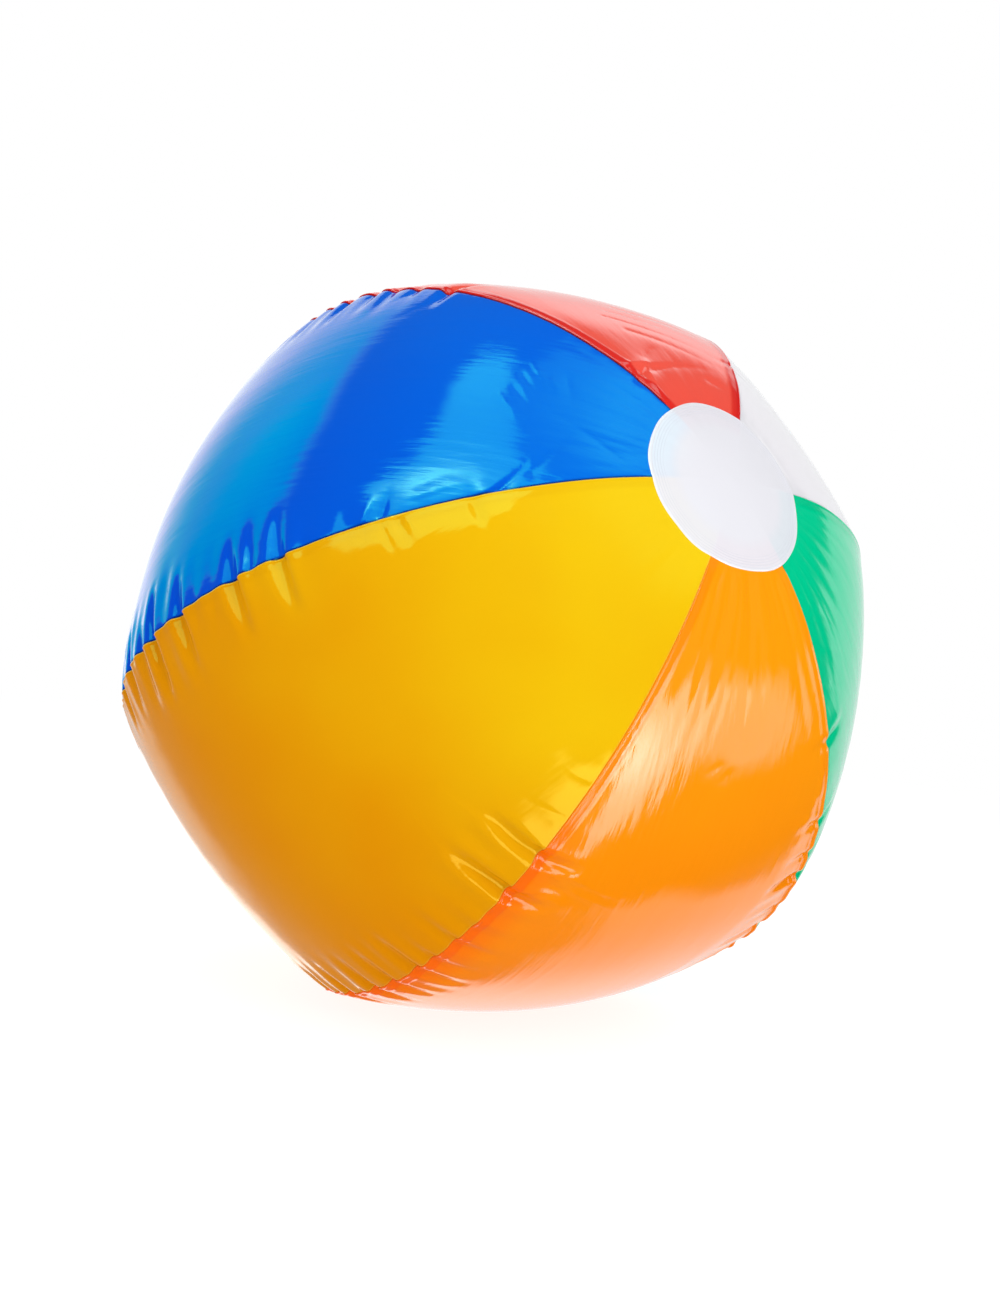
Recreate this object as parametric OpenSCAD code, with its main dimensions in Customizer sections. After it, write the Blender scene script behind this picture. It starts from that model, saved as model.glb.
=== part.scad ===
// Inflatable beach ball: six welded vinyl gores, a round patch over each pole
// and a push-in air valve with a tethered stopper at the lower, hidden pole.
// The ball lies on the middle of its orange gore, with its pole axis tilted.
// Row frame: +Z up, origin at the middle of the small flat it rests on.

/* [Ball] */
// Radius of the blown-up ball at the middle of a panel, on the equator
ball_r = 161; // [157:1:165]
// How far each panel's own axis lies behind the ball's axis: flatter panels, sharper seams
panel_set = 103; // [90:1:115]
// How far each panel's arc is centred behind the ball's axis: a slightly taller ball
arc_set = 4; // [3:0.5:5]
// Thickness of the vinyl film
film_t = 0.2; // [0.18:0.02:0.24]
// Width of the welded lap that one panel tucks under the next
lap_w = 4.5; // [3:0.5:6]

/* [End discs] */
// Radius of the round patch at each pole
disc_r = 37; // [34:0.5:40]
// Radius of the hole that the panel tips leave under a patch
tip_hole_r = 25.5; // [23:0.5:28]
// Radius of the valve's hole in the lower patch
valve_hole_r = 10.5; // [10:0.25:12]

/* [Valve] */
// Outer radius of the valve's weld flange
flange_r = 16; // [14:0.5:20]
// Radius of the opening in the flange that the stem passes through
flange_hole_r = 8.7; // [8.7:0.1:9.5]
// Thickness of the flange
flange_t = 0.6; // [0.4:0.1:0.8]
// Outer radius of the valve stem
stem_r = 4.6; // [4.4:0.1:4.8]
// Radius of the stopper's seat in the mouth of the stem
seat_r = 3.1; // [3:0.05:3.2]
// Radius of the air bore below the seat
bore_r = 2.6; // [2.4:0.1:2.7]
// Depth of the stopper's seat
seat_depth = 4.4; // [4.3:0.1:5]
// Length of the stem
stem_len = 18.7; // [18:0.1:24]
// Height of the stem's mouth above the film when the valve is pushed in
mouth_up = 1.2; // [1:0.1:1.6]
// Depth below the film at which the folding wall meets the stem when pushed in
fold_depth = 6.5; // [6:0.5:8]
// Thickness of the folding wall
fold_t = 0.5; // [0.4:0.05:0.6]

/* [Stopper] */
// Radius of the stopper's head
head_r = 4.8; // [4.6:0.1:5]
// Thickness of the stopper's head
head_t = 1.15; // [1:0.05:1.3]
// Length of the rounded peg
peg_len = 4; // [3.5:0.1:4.1]
// Width of the strap
strap_w = 3; // [2.8:0.1:3.4]
// Distance of the strap's fold line from the stem's axis
fold_x = 8; // [7.9:0.05:8.05]

/* [Rest] */
// Tilt of the pole axis from upright
rest_tilt = 60; // [55:1:65]
// Heading of the upper pole
rest_heading = -54; // [-180:1:180]
// Depth pressed flat where the ball rests
rest_depth = 0.6; // [0.4:0.1:1]

/* [Hidden] */
$fn = 180;

gap = 0.03;                       // between welded layers
arc_r = ball_r + arc_set;         // radius of a panel's arc from pole to pole
pole_z = sqrt(arc_r * arc_r - arc_set * arc_set);
rest_lat = 90 - rest_tilt;        // where on the orange panel the ball rests, below its equator
rest_h = arc_r - arc_set * cos(rest_lat) - rest_depth;
big = 2.4 * ball_r;
fold_up = 0.5;                    // the strap's fold line above the stem's mouth
knuckle_r = 0.4;

// ---- placing -------------------------------------------------------------
// From the ball's own frame (pole axis on Z) to the row frame
module lay_down()
    rotate([0, 0, rest_heading - 90])
        translate([0, arc_set * sin(rest_lat), rest_h])
            rotate([-rest_tilt, 0, 0]) children();

// From the valve's frame (+Z straight out of the ball, +X towards the strap)
module at_valve()
    lay_down() rotate([0, 0, -90]) translate([0, 0, -pole_z]) rotate([180, 0, 0]) children();

// ---- film ----------------------------------------------------------------
// Part of a ring between two arcs of the panel's profile; x is the distance from the panel's axis
module arc_band(out, thick, inner_w)
    difference() {
        translate([panel_set - arc_set, 0]) circle(r = arc_r + out);
        translate([panel_set - arc_set, 0]) circle(r = arc_r + out - thick);
        translate([-big, -big]) square([big + panel_set + inner_w, 2 * big]);
    }

// A strip of film swept about the panel's own axis, the panel's middle on +X
module film(out, thick, inner_w, half = 24)
    translate([-panel_set, 0, 0])
        rotate([0, 0, -half]) rotate_extrude(angle = 2 * half) arc_band(out, thick, inner_w);

// Wedge of 60 degrees about the pole axis
module wedge()
    translate([0, 0, -big / 2]) linear_extrude(big)
        polygon([[0, 0], big * [cos(30), -sin(30)], big * [cos(30), sin(30)]]);

// Upright slab along the seam half-plane at the panel's +30 degree edge, from a to b across it
module seam_slab(a, b)
    rotate([0, 0, 30]) translate([0, a, -big / 2]) cube([big, b - a, big]);

// Lap on the +30 degree edge: a joggle under this panel and a strip under the next one
module lap() {
    intersection() {
        film(0, 2 * film_t + gap, 8);
        seam_slab(-1.2, 0);
        wedge();
    }
    intersection() {
        rotate([0, 0, 60]) film(-film_t - gap, film_t, 8);
        seam_slab(0, lap_w);
    }
}

// One gore: film between two seams, with a lap on either edge where asked for
module gore(az, lap_lo, lap_hi)
    rotate([0, 0, az]) difference() {
        union() {
            intersection() { film(0, film_t, 8); wedge(); }
            if (lap_hi) lap();
            if (lap_lo) mirror([0, 1, 0]) lap();
        }
        cylinder(r = tip_hole_r, h = big, center = true);
    }

// Everything under the plane of the floor, and the thin slab just above it
module floor_cut()
    rotate([0, rest_lat, 0]) translate([rest_h, -60, -60]) cube([20, 120, 120]);
module floor_slab()
    rotate([0, rest_lat, 0]) translate([rest_h - film_t, -60, -60]) cube([film_t, 120, 120]);

// Six patches of film round one pole, seams and all, between two radii
module pole_skin(out, thick, r1, r2)
    intersection() {
        union() for (k = [0:5]) rotate([0, 0, 60 * k + 30]) intersection() {
            film(out, thick, 3, 12);
            translate([0, 0, big / 4]) linear_extrude(big / 4)
                polygon([[0, 0], 60 * [cos(30), -sin(30)], 60 * [cos(30), sin(30)]]);
        }
        difference() {
            cylinder(r = r2, h = big);
            translate([0, 0, -1]) cylinder(r = r1, h = big + 2);
        }
    }

// ---- panels --------------------------------------------------------------
module panel_blue()   color([0.00, 0.33, 0.85]) lay_down() gore(330, true, true);
module panel_yellow() color([0.93, 0.77, 0.05]) lay_down() gore(30, false, true);
module panel_green()  color([0.00, 0.72, 0.46]) lay_down() gore(150, true, false);
module panel_white()  color([0.94, 0.94, 0.96]) lay_down() gore(210, true, true);
module panel_red()    color([0.90, 0.25, 0.20]) lay_down() gore(270, false, false);
module panel_orange() color([1.00, 0.52, 0.05]) lay_down() {
    difference() { gore(90, false, false); rotate([0, 0, 90]) floor_cut(); }
    rotate([0, 0, 90]) intersection() {
        translate([-panel_set, 0, 0]) rotate([0, 0, -12]) rotate_extrude(angle = 24)
            intersection() {
                translate([panel_set - arc_set, 0]) circle(r = arc_r - film_t / 2);
                translate([panel_set + 60, -big]) square([big, 2 * big]);
            }
        floor_slab();
    }
}

// ---- end discs -----------------------------------------------------------
disc_out = gap + film_t;
cap_r = 7;
module end_disc() color([0.93, 0.93, 0.95]) lay_down() {
    pole_skin(disc_out, film_t, cap_r, disc_r);
    // the middle of the patch, where six arcs would meet in a point
    translate([0, 0, sqrt(pow(arc_r + disc_out, 2) - pow(cap_r + arc_set, 2)) - 1.5 * film_t])
        cylinder(r = cap_r, h = film_t);
}
module valve_disc() color([0.93, 0.93, 0.95])
    lay_down() mirror([0, 0, 1]) pole_skin(disc_out, film_t, valve_hole_r, disc_r);

// ---- valve ---------------------------------------------------------------
flange_z = sqrt(arc_r * arc_r - pow(flange_hole_r + arc_set, 2)) - pole_z;
module valve_flange() color([0.88, 0.90, 0.93])
    lay_down() mirror([0, 0, 1]) pole_skin(0, flange_t, flange_hole_r, flange_r);

// Thin cone that turns inside out: pushed in here
collar_r = 6;
module valve_bellows() color([0.86, 0.89, 0.93]) at_valve()
    rotate_extrude() polygon([
        [flange_hole_r - gap, flange_z - 0.04], [flange_hole_r - gap, flange_z - flange_t + 0.04],
        [collar_r + gap, -fold_depth - fold_t], [collar_r + gap, -fold_depth]]);

module valve_stem() color([0.90, 0.92, 0.95]) at_valve() {
    difference() {
        union() {
            translate([0, 0, mouth_up - stem_len]) cylinder(r = stem_r, h = stem_len);
            translate([0, 0, -fold_depth - 0.65]) cylinder(r = collar_r, h = 0.8);
            translate([0, 0, mouth_up - 0.7]) cylinder(r = stem_r + 0.35, h = 0.7);
            translate([0, 0, mouth_up - stem_len]) cylinder(r = stem_r + 0.6, h = 0.9);
            // root of the flap's hinge
            translate([5.3, -1.6, mouth_up - stem_len - 0.5]) cube([0.7, 3.2, 1.4]);
            translate([4.2, -1.6, mouth_up - stem_len]) cube([1.3, 3.2, 0.9]);
        }
        translate([0, 0, mouth_up - stem_len - 1]) cylinder(r = bore_r, h = stem_len + 2);
        translate([0, 0, mouth_up - seat_depth]) cylinder(r = seat_r, h = seat_depth + 1);
    }
}

fold_z = mouth_up + fold_up;
// Ring round the neck of the stem, with the arm and the two ears of the strap's fold
module plug_strap() color([0.86, 0.89, 0.93]) at_valve() {
    difference() {
        translate([0, 0, -0.7]) cylinder(r = stem_r + 1.2, h = 1.1);
        translate([0, 0, -1.7]) cylinder(r = stem_r + gap, h = 3.1);
    }
    translate([0, strap_w / 2, 0]) rotate([90, 0, 0]) linear_extrude(strap_w)
        polygon([[stem_r + 0.6, -0.7], [stem_r + 0.6, 0.4], [fold_x - 1, 0.5],
                 [fold_x + knuckle_r, 0.6], [fold_x + knuckle_r, -0.3], [fold_x - 0.4, -0.7]]);
    for (s = [-1, 1]) translate([0, s * (strap_w / 2 - 0.3), 0]) {
        translate([fold_x - knuckle_r, -0.3, 0]) cube([2 * knuckle_r, 0.6, fold_z]);
        translate([fold_x, 0.3, fold_z]) rotate([90, 0, 0]) cylinder(r = knuckle_r, h = 0.6);
    }
}

// Rounded peg: the depth curve lets it swing out of its seat about the fold line
function peg_w(z) = seat_r - 0.04 - (pow(fold_up - z, 2) - pow(fold_up, 2)) / (2 * (fold_x + 1.9));
module valve_plug() color([0.86, 0.89, 0.93]) at_valve() {
    translate([0, 0, mouth_up]) rotate_extrude() polygon(concat(
        [[0, gap], [0, -peg_len]],
        [for (i = [0:8]) let (z = -peg_len + peg_len * i / 8) [peg_w(z) - (i == 0 ? 0.5 : 0), z]],
        [[peg_w(0), gap]]));
    translate([0, 0, mouth_up + gap]) cylinder(r = head_r, h = head_t);
    // strap from the head to the fold line
    translate([head_r - 1, -strap_w / 2, fold_z - knuckle_r]) cube([fold_x - head_r + 0.4, strap_w, 0.8]);
    translate([fold_x - 0.8, -strap_w / 2 + 0.75, fold_z - knuckle_r]) cube([0.8, strap_w - 1.5, 0.8]);
    translate([fold_x, strap_w / 2 - 0.75, fold_z]) rotate([90, 0, 0]) cylinder(r = knuckle_r, h = strap_w - 1.5);
    // lip for a finger nail
    translate([-head_r - 2.4, -2, mouth_up + gap + head_t - 0.7]) cube([3.4, 4, 0.7]);
    translate([-head_r - 2.4, 0, mouth_up + gap + head_t - 0.7]) cylinder(r = 2, h = 0.7);
}

// Leaf over the inner end of the air bore
module check_flap() color([0.90, 0.92, 0.95]) at_valve()
    translate([0, 0, mouth_up - stem_len - gap - 0.3]) {
        cylinder(r = 3.9, h = 0.3);
        translate([0, -1.4, 0]) cube([5.1, 2.8, 0.3]);
        translate([5.1, 1.4, 0.15]) rotate([90, 0, 0]) cylinder(r = 0.15, h = 2.8);
    }

panel_blue();
panel_yellow();
panel_orange();
panel_green();
panel_white();
panel_red();
end_disc();
valve_disc();
valve_flange();
valve_bellows();
valve_stem();
plug_strap();
valve_plug();
check_flap();
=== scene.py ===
import math

import bpy
import numpy as np
from mathutils import Matrix, Vector


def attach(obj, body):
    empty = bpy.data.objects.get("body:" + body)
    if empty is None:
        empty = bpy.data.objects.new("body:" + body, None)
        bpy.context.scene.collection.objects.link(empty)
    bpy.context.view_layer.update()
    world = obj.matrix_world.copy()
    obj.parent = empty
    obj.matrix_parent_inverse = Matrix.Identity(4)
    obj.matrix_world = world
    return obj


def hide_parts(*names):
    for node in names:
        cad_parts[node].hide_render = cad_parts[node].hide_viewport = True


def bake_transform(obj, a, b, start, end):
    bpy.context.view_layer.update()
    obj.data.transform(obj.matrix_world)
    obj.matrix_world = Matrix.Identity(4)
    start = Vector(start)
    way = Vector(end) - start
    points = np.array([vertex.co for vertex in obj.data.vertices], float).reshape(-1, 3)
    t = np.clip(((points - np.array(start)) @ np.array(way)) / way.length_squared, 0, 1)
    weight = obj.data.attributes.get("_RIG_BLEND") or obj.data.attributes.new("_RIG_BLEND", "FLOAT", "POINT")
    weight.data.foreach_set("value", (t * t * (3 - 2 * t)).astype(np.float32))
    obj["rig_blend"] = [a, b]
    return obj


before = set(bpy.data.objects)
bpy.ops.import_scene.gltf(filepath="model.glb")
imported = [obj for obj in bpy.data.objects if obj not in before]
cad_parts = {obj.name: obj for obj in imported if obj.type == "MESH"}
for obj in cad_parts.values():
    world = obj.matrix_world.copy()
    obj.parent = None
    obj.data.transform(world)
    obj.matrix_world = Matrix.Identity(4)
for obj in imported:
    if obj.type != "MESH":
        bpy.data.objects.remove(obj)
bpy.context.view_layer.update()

MM = 0.001

# ---------------------------------------------------------------- the ball's own frame (pole axis on Z) in the row frame
R_ARC, SET, OFF = 0.165, 0.103, 0.004     # a panel's arc, its axis behind the ball's, the arc's centre behind the ball's
TILT, HEADING, REST = math.radians(60), math.radians(-54 - 90), 0.0006
FILM = 0.0002


def rot_z(a):
    return np.array([[math.cos(a), -math.sin(a), 0], [math.sin(a), math.cos(a), 0], [0, 0, 1.0]])


def rot_x(a):
    return np.array([[1.0, 0, 0], [0, math.cos(a), -math.sin(a)], [0, math.sin(a), math.cos(a)]])


BALL_R = rot_z(HEADING) @ rot_x(-TILT)
BALL_T = rot_z(HEADING) @ np.array([0, OFF * 0.5, R_ARC - OFF * math.cos(math.radians(30)) - REST])
POLE_Z = math.sqrt(R_ARC ** 2 - OFF ** 2)
VALVE_R = BALL_R @ rot_z(math.radians(-90)) @ rot_x(math.pi)
VALVE_T = BALL_R @ np.array([0, 0, -POLE_Z]) + BALL_T


def to_row(P):
    return P @ BALL_R.T + BALL_T


def valve_to_row(P):
    return np.asarray(P, float) @ VALVE_R.T + VALVE_T


# ---------------------------------------------------------------- blown-up film: puckers along the seams
PHI_MAX = math.radians(79.6)
DISC_R = 0.037
DISC_PHI = math.acos((DISC_R + OFF) / R_ARC)
PANELS = ["yellow", "orange", "green", "white", "red", "blue"]           # panel k spans azimuth 60k to 60k+60
# where a welded lap lies under the film: +1 on the panel after the seam at azimuth 60k, -1 on the panel before it
LAP_SIDE = [1, 1, -1, -1, 1, -1]
LAP_W = 0.0045

# sharp tucks along each seam: (latitude in degrees, strength), and the stretch between which none are added at random
NOTCHES = [
    ([(53.5, 0.35), (26.5, 1.2), (21.0, 0.6), (18.3, 1.0), (6.5, 1.3), (-1.5, 1.2), (-7.6, 1.0), (-12.8, 0.9), (-19.5, 1.0)], (-22.0, 80.0)),
    ([(32.0, 1.5), (24.5, 1.6), (18.5, 0.5), (13.0, 0.6), (7.6, 0.9), (3.4, 0.8), (-2.5, 1.0), (-8.0, 1.0), (-16.0, 1.0)], (-18.0, 80.0)),
    ([(51.0, 0.8), (37.0, 0.8), (31.0, 0.7), (25.5, 1.1)], (23.0, 80.0)),
    ([], (45.0, 80.0)),
    ([(62.0, 0.5)], (50.0, 80.0)),
    ([(71.5, 0.5), (38.5, 1.0), (33.0, 0.8)], (30.0, 80.0)),
]
# how much spare edge each seam has, by latitude: little towards the discs, where the seams run smooth
SPARE = [
    [(-30, 0.9), (-20, 0.8), (24, 0.8), (40, 0.95), (56, 0.9), (66, 0.3), (80, 0.1)],
    [(-30, 1.0), (-20, 0.8), (-8, 0.6), (30, 0.5), (45, 0.4), (60, 0.2), (80, 0.1)],
    [(-30, 1.0), (15, 0.7), (27, 0.4), (45, 0.3), (80, 0.1)],
    [(-30, 1.0), (30, 0.8), (42, 0.3), (80, 0.1)],
    [(-30, 1.0), (35, 0.8), (48, 0.3), (80, 0.1)],
    [(-30, 1.0), (25, 0.9), (36, 0.5), (48, 0.3), (80, 0.1)],
]
# how far each seam is drawn smooth between its tucks, by latitude: 0 to 1
IRON = [
    [(-20, 0.0), (0, 0.25), (26, 0.5), (33, 0.95)],
    [(-20, 0.0), (-8, 0.4), (20, 0.6), (34, 0.95)],
    [(0, 0.2), (15, 0.6), (28, 0.95)],
    [(20, 0.1), (38, 0.95)],
    [(30, 0.1), (46, 0.95)],
    [(22, 0.1), (34, 0.7), (42, 0.95)],
]
# longer creases: (seam, side, latitude, slope along the crease, extra length, reach along the seam, reach into the panel)
STRONG = [
    (1, -1, 32.0, -0.20, 0.30, 0.0035, 0.026),
    (1, -1, 24.5, -0.02, 0.30, 0.0035, 0.030),
    (1, 1, 31.5, -0.16, 0.22, 0.0030, 0.018),
    (1, 1, 24.5, 0.05, 0.22, 0.0030, 0.014),
    (0, 1, 18.3, -0.2, 0.12, 0.0040, 0.016),
    (0, 1, 6.5, -0.3, 0.18, 0.0035, 0.020),
    (0, 1, -1.5, -0.3, 0.20, 0.0035, 0.024),
    (0, 1, 26.0, 0.1, 0.16, 0.0040, 0.018),
    (0, -1, 21.0, 0.2, 0.16, 0.0030, 0.014),
    (0, -1, -1.5, 0.2, 0.16, 0.0035, 0.018),
    (5, -1, 38.5, 0.2, 0.20, 0.0030, 0.014),
    (5, -1, 28.0, 0.2, 0.20, 0.0030, 0.018),
    (2, -1, 26.0, -0.3, 0.16, 0.0035, 0.016),
    (2, 1, 50.0, 0.3, 0.14, 0.0035, 0.020),
    (3, 1, 18.0, 0.2, 0.18, 0.0035, 0.024),
    (4, 1, -20.0, -0.2, 0.18, 0.0035, 0.024),
    (4, -1, 12.0, 0.1, 0.18, 0.0035, 0.026),
    (3, -1, -22.0, 0.2, 0.18, 0.0035, 0.024),
]


def base_grid(ns, q_mm):
    """The CAD shape as rows from the lower to the upper pole and columns round the ball: [3, rows, columns]."""
    q = np.array(q_mm) / q_mm[-1]
    tau = np.concatenate([-(1 - q[:-1]), (1 - q)[::-1]])
    phi = np.linspace(-PHI_MAX, PHI_MAX, ns)
    rho = SET - OFF + R_ARC * np.cos(phi)
    c30 = math.cos(math.radians(30))
    rr = -SET * c30 + np.sqrt((SET * c30) ** 2 - SET ** 2 + rho ** 2)
    half = np.arcsin(rr * 0.5 / rho)
    cols = []
    for k in range(6):
        a = math.radians(60 * k + 30)
        for t in tau[:-1]:
            x = -SET + rho * np.cos(half * t)
            y = rho * np.sin(half * t)
            cols.append(np.stack([x * math.cos(a) - y * math.sin(a), x * math.sin(a) + y * math.cos(a), R_ARC * np.sin(phi)]))
    return np.stack(cols, -1), phi, tau, rho * half


def hats(n, m, wrap):
    A = np.zeros((n, m))
    t = np.arange(n) / n * m if wrap else np.arange(n) / (n - 1) * (m - 1)
    i = np.floor(t).astype(int)
    f = t - i
    f = f * f * (3 - 2 * f)
    for a, b in ((i, 1 - f), (i + 1, f)):
        A[np.arange(n), a % m if wrap else np.minimum(a, m - 1)] += b
    return A


def blow_up(ns, q_mm, steps, p=1250.0, Et=8000.0, D=1.5e-5, lap_gain=2.5, e0=0.036, phw=math.radians(38), n_tau=4.5,
            eps_m=0.01, eps_t=0.004, k_low=1e6, damp=0.985, pleat=0.010, noise=0.0018, seed=7):
    """Damped motion of the film as a net of springs under air pressure. Each panel's edge is longer than its seam's path,
    so the seams tuck in at the notches and the film rounds out between them."""
    X0, phi, tau, wid = base_grid(ns, q_mm)
    nt1 = len(tau) - 1
    NT = 6 * nt1
    f32 = np.float32
    rng = np.random.RandomState(seed)
    ct = np.tile(tau[:-1], 6)
    pan = np.repeat(np.arange(6), nt1)
    q = (1 - np.abs(ct))[None, :] * wid[:, None]
    Xw = np.concatenate([X0, X0[:, :, :1]], 2)
    LS = np.linalg.norm(X0[:, 1:] - X0[:, :-1], axis=0)
    LT = np.linalg.norm(Xw[:, :, 1:] - Xw[:, :, :-1], axis=0)
    D1 = np.linalg.norm(Xw[:, 1:, 1:] - Xw[:, :-1, :-1], axis=0)
    D2 = np.linalg.norm(Xw[:, 1:, :-1] - Xw[:, :-1, 1:], axis=0)
    phm = ((phi[1:] + phi[:-1]) / 2)[:, None]
    qm = (q[1:] + q[:-1]) / 2
    g = np.abs(ct)[None, :] ** n_tau
    near = (pan + (ct > 0)) % 6
    spare = np.stack([np.interp(np.degrees(phm[:, 0]), *zip(*SPARE[k])) for k in range(6)], 1)[:, near]
    e = spare * (e0 * np.exp(-(np.abs(phm) / phw) ** 4) * g + 0.006 * g * np.exp(-(np.abs(phm) / math.radians(62)) ** 6))

    s_row = phi * R_ARC
    sm = (s_row[1:] + s_row[:-1]) / 2
    tucks = []                                               # (seam, position, strength, reach on each side)
    for k in range(6):
        fixed, (lo_f, hi_f) = NOTCHES[k]
        for lat, strength in fixed:
            tucks.append((k, math.radians(lat) * R_ARC, strength, rng.uniform(0.008, 0.022), rng.uniform(0.008, 0.022)))
        x = math.radians(lo_f) * R_ARC - 0.003
        while x > -0.115:
            x -= rng.uniform(0.0100, 0.0185)
            tucks.append((k, x, rng.uniform(0.6, 1.25) * math.exp(-(x / 0.112) ** 6), rng.uniform(0.008, 0.024), rng.uniform(0.008, 0.024)))
    def side_mask(seam, side):
        pk = seam if side > 0 else (seam - 1) % 6
        return ((pan == pk) & ((ct < 0) if side > 0 else (ct > 0)))[None, :]

    for k, x, strength, la, lb in tucks:
        for side, reach in ((1, la), (-1, lb)):
            w = 0.0026 + 0.13 * qm
            e = e + side_mask(k, side) * 0.20 * strength * 0.0026 / w * np.exp(-((sm[:, None] - x) / w) ** 2) * np.exp(-qm / reach)
    for seam, side, lat, slope, amp, ws, lq in STRONG:
        w = ws + 0.03 * qm
        e = e + side_mask(seam, side) * amp * ws / w * np.exp(-((sm[:, None] - math.radians(lat) * R_ARC - slope * qm) / w) ** 2) * np.exp(-(qm / lq) ** 2)

    def soft_noise(n, m, a, b):
        """smooth random field: a rows and b columns of control values, wrapped round the ball"""
        return hats(n, a, False) @ rng.normal(0, 1, (a, b)) @ hats(m, b, True).T

    e = e - eps_m * (1 - g) + noise * soft_noise(ns - 1, NT, 44, 108)
    LS0 = LS * (1 + e)
    belt = np.exp(-((np.abs(phi) - math.radians(71.0)) / math.radians(4.5)) ** 2)[:, None]
    LT0 = LT * (1 - eps_t + pleat * belt + noise * soft_noise(ns, NT, 30, 132))

    def mid_s(A):
        A = np.concatenate([A, A[:, :1]], 1)
        return (A[:, 1:] ** 2 + A[:, :-1] ** 2) / 2

    def mid_t(A):
        return (A[1:] ** 2 + A[:-1] ** 2) / 2

    k2 = np.sqrt((mid_s(LS0) + mid_t(LT0)) / (mid_s(LS) + mid_t(LT)))
    D10, D20 = D1 * k2, D2 * k2
    bw = (LT + np.roll(LT, 1, 1)) / 2
    aw = np.zeros(ns)
    aw[1:-1] = (LS[1:, 0] + LS[:-1, 0]) / 2
    aw[0] = aw[-1] = LS[0, 0] / 2
    area = aw[:, None] * bw
    kS = 0.75 * Et * (bw[1:] + bw[:-1]) / 2 / LS
    kT = 0.75 * Et * aw[:, None] / LT
    cell = ((LS + np.roll(LS, -1, 1)) / 2) * ((LT[1:] + LT[:-1]) / 2)
    kD = 0.30 * Et * cell / (D1 * D2)
    gain = np.ones((ns, NT))
    for k in range(6):
        pk = k if LAP_SIDE[k] > 0 else (k - 1) % 6
        m = (pan == pk) & ((ct <= 0) if LAP_SIDE[k] > 0 else (ct >= 0))
        gain = np.where(m[None, :] & (q < LAP_W), lap_gain, gain)
    seam_cols = np.arange(6) * nt1
    gain[:, seam_cols] = lap_gain
    h = LS[:, :1].mean()
    KS = (D * gain * bw / h)[1:-1]
    h1, h2 = LT, np.roll(LT, 1, 1)
    KT = D * gain * aw[:, None] / ((h1 + h2) / 2)
    KT[:, seam_cols] = 0
    M = np.zeros((ns, NT))
    M[1:] += kS
    M[:-1] += kS
    M += kT + np.roll(kT, 1, 1)
    M[1:] += kD + np.roll(kD, 1, 1)
    M[:-1] += kD + np.roll(kD, 1, 1)
    M[1:-1] += 8 * KS / h ** 2
    M += KT * (1 / h1 + 1 / h2) ** 2 * 2
    M *= 0.62
    nrm = np.cross(np.gradient(X0, axis=1), np.roll(X0, -1, 2) - np.roll(X0, 1, 2), axis=0)
    nrm /= np.linalg.norm(nrm, axis=0)
    if (nrm * X0).sum() < 0:
        nrm = -nrm
    d = np.zeros((ns, NT))
    seam_c = seam_cols
    for k, x, strength, la, lb in tucks:
        for j in range(-(nt1 // 2), nt1 // 2 + 1):
            c = (k * nt1 + j) % NT
            qq = q[:, c]
            d[:, c] -= 0.0011 * strength * np.exp(-np.abs(s_row - x) / (0.0010 + 0.10 * qq)) * np.exp(-qq / (la if j > 0 else lb))
    for seam, side, lat, slope, amp, ws, lq in STRONG:
        x = math.radians(lat) * R_ARC + slope * q
        d -= side_mask(seam, side) * 0.0014 * np.exp(-np.abs(s_row[:, None] - x) / (0.0009 + 0.03 * q)) * np.exp(-q / (lq * 1.2))
    az = np.arctan2(X0[1], X0[0])
    pl = np.zeros((ns, NT))
    for m_ in range(34, 64, 3):
        pl += np.cos(m_ * az + rng.uniform(0, 6.28)) * rng.uniform(0.3, 1)
    d += 0.00006 * pl * belt
    X = (X0 + nrm * d).astype(f32)
    X0f = X0.astype(f32)
    pin = np.abs(phi) > DISC_PHI - 0.003
    As, At = hats(ns, 21, False), hats(NT, 24, True)
    wa = area / area.mean()
    Wn = As.T @ wa @ At
    Asf, Atf, Wf, waf = As.astype(f32), At.astype(f32), Wn.astype(f32), wa.astype(f32)
    kS, kT, kD, KS, KT, LS0, LT0, D10, D20 = (a.astype(f32) for a in (kS, kT, kD, KS, KT, LS0, LT0, D10, D20))
    ih, ih1, ih2 = f32(1 / h), (1 / h1).astype(f32), (1 / h2).astype(f32)
    iM = (1 / M).astype(f32)
    iM[pin] = 0
    push = (area * k_low).astype(f32)
    V, F, teth = np.zeros_like(X), np.zeros_like(X), np.zeros_like(X)
    for it in range(steps):
        XR = np.concatenate([X[:, :, 1:], X[:, :, :1]], 2)
        F[:] = 0
        e_ = X[:, 1:] - X[:, :-1]
        L = np.sqrt((e_ * e_).sum(0))
        e_ *= kS * (L - LS0) / L
        F[:, :-1] += e_
        F[:, 1:] -= e_
        T = XR - X
        L = np.sqrt((T * T).sum(0))
        e_ = T * (kT * (L - LT0) / L)
        F += e_
        F[:, :, 1:] -= e_[:, :, :-1]
        F[:, :, 0] -= e_[:, :, -1]
        e_ = XR[:, 1:] - X[:, :-1]
        L = np.sqrt((e_ * e_).sum(0))
        e_ *= kD * (L - D10) / L
        F[:, :-1] += e_
        F[:, 1:, 1:] -= e_[:, :, :-1]
        F[:, 1:, 0] -= e_[:, :, -1]
        e_ = X[:, 1:] - XR[:, :-1]
        L = np.sqrt((e_ * e_).sum(0))
        e_ *= kD * (L - D20) / L
        F[:, 1:] -= e_
        F[:, :-1, 1:] += e_[:, :, :-1]
        F[:, :-1, 0] += e_[:, :, -1]
        b = (X[:, 2:] + X[:, :-2] - 2 * X[:, 1:-1]) * (ih * ih)
        b *= KS
        F[:, 1:-1] += 2 * b
        F[:, 2:] -= b
        F[:, :-2] -= b
        TL = np.concatenate([T[:, :, -1:], T[:, :, :-1]], 2)
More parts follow.
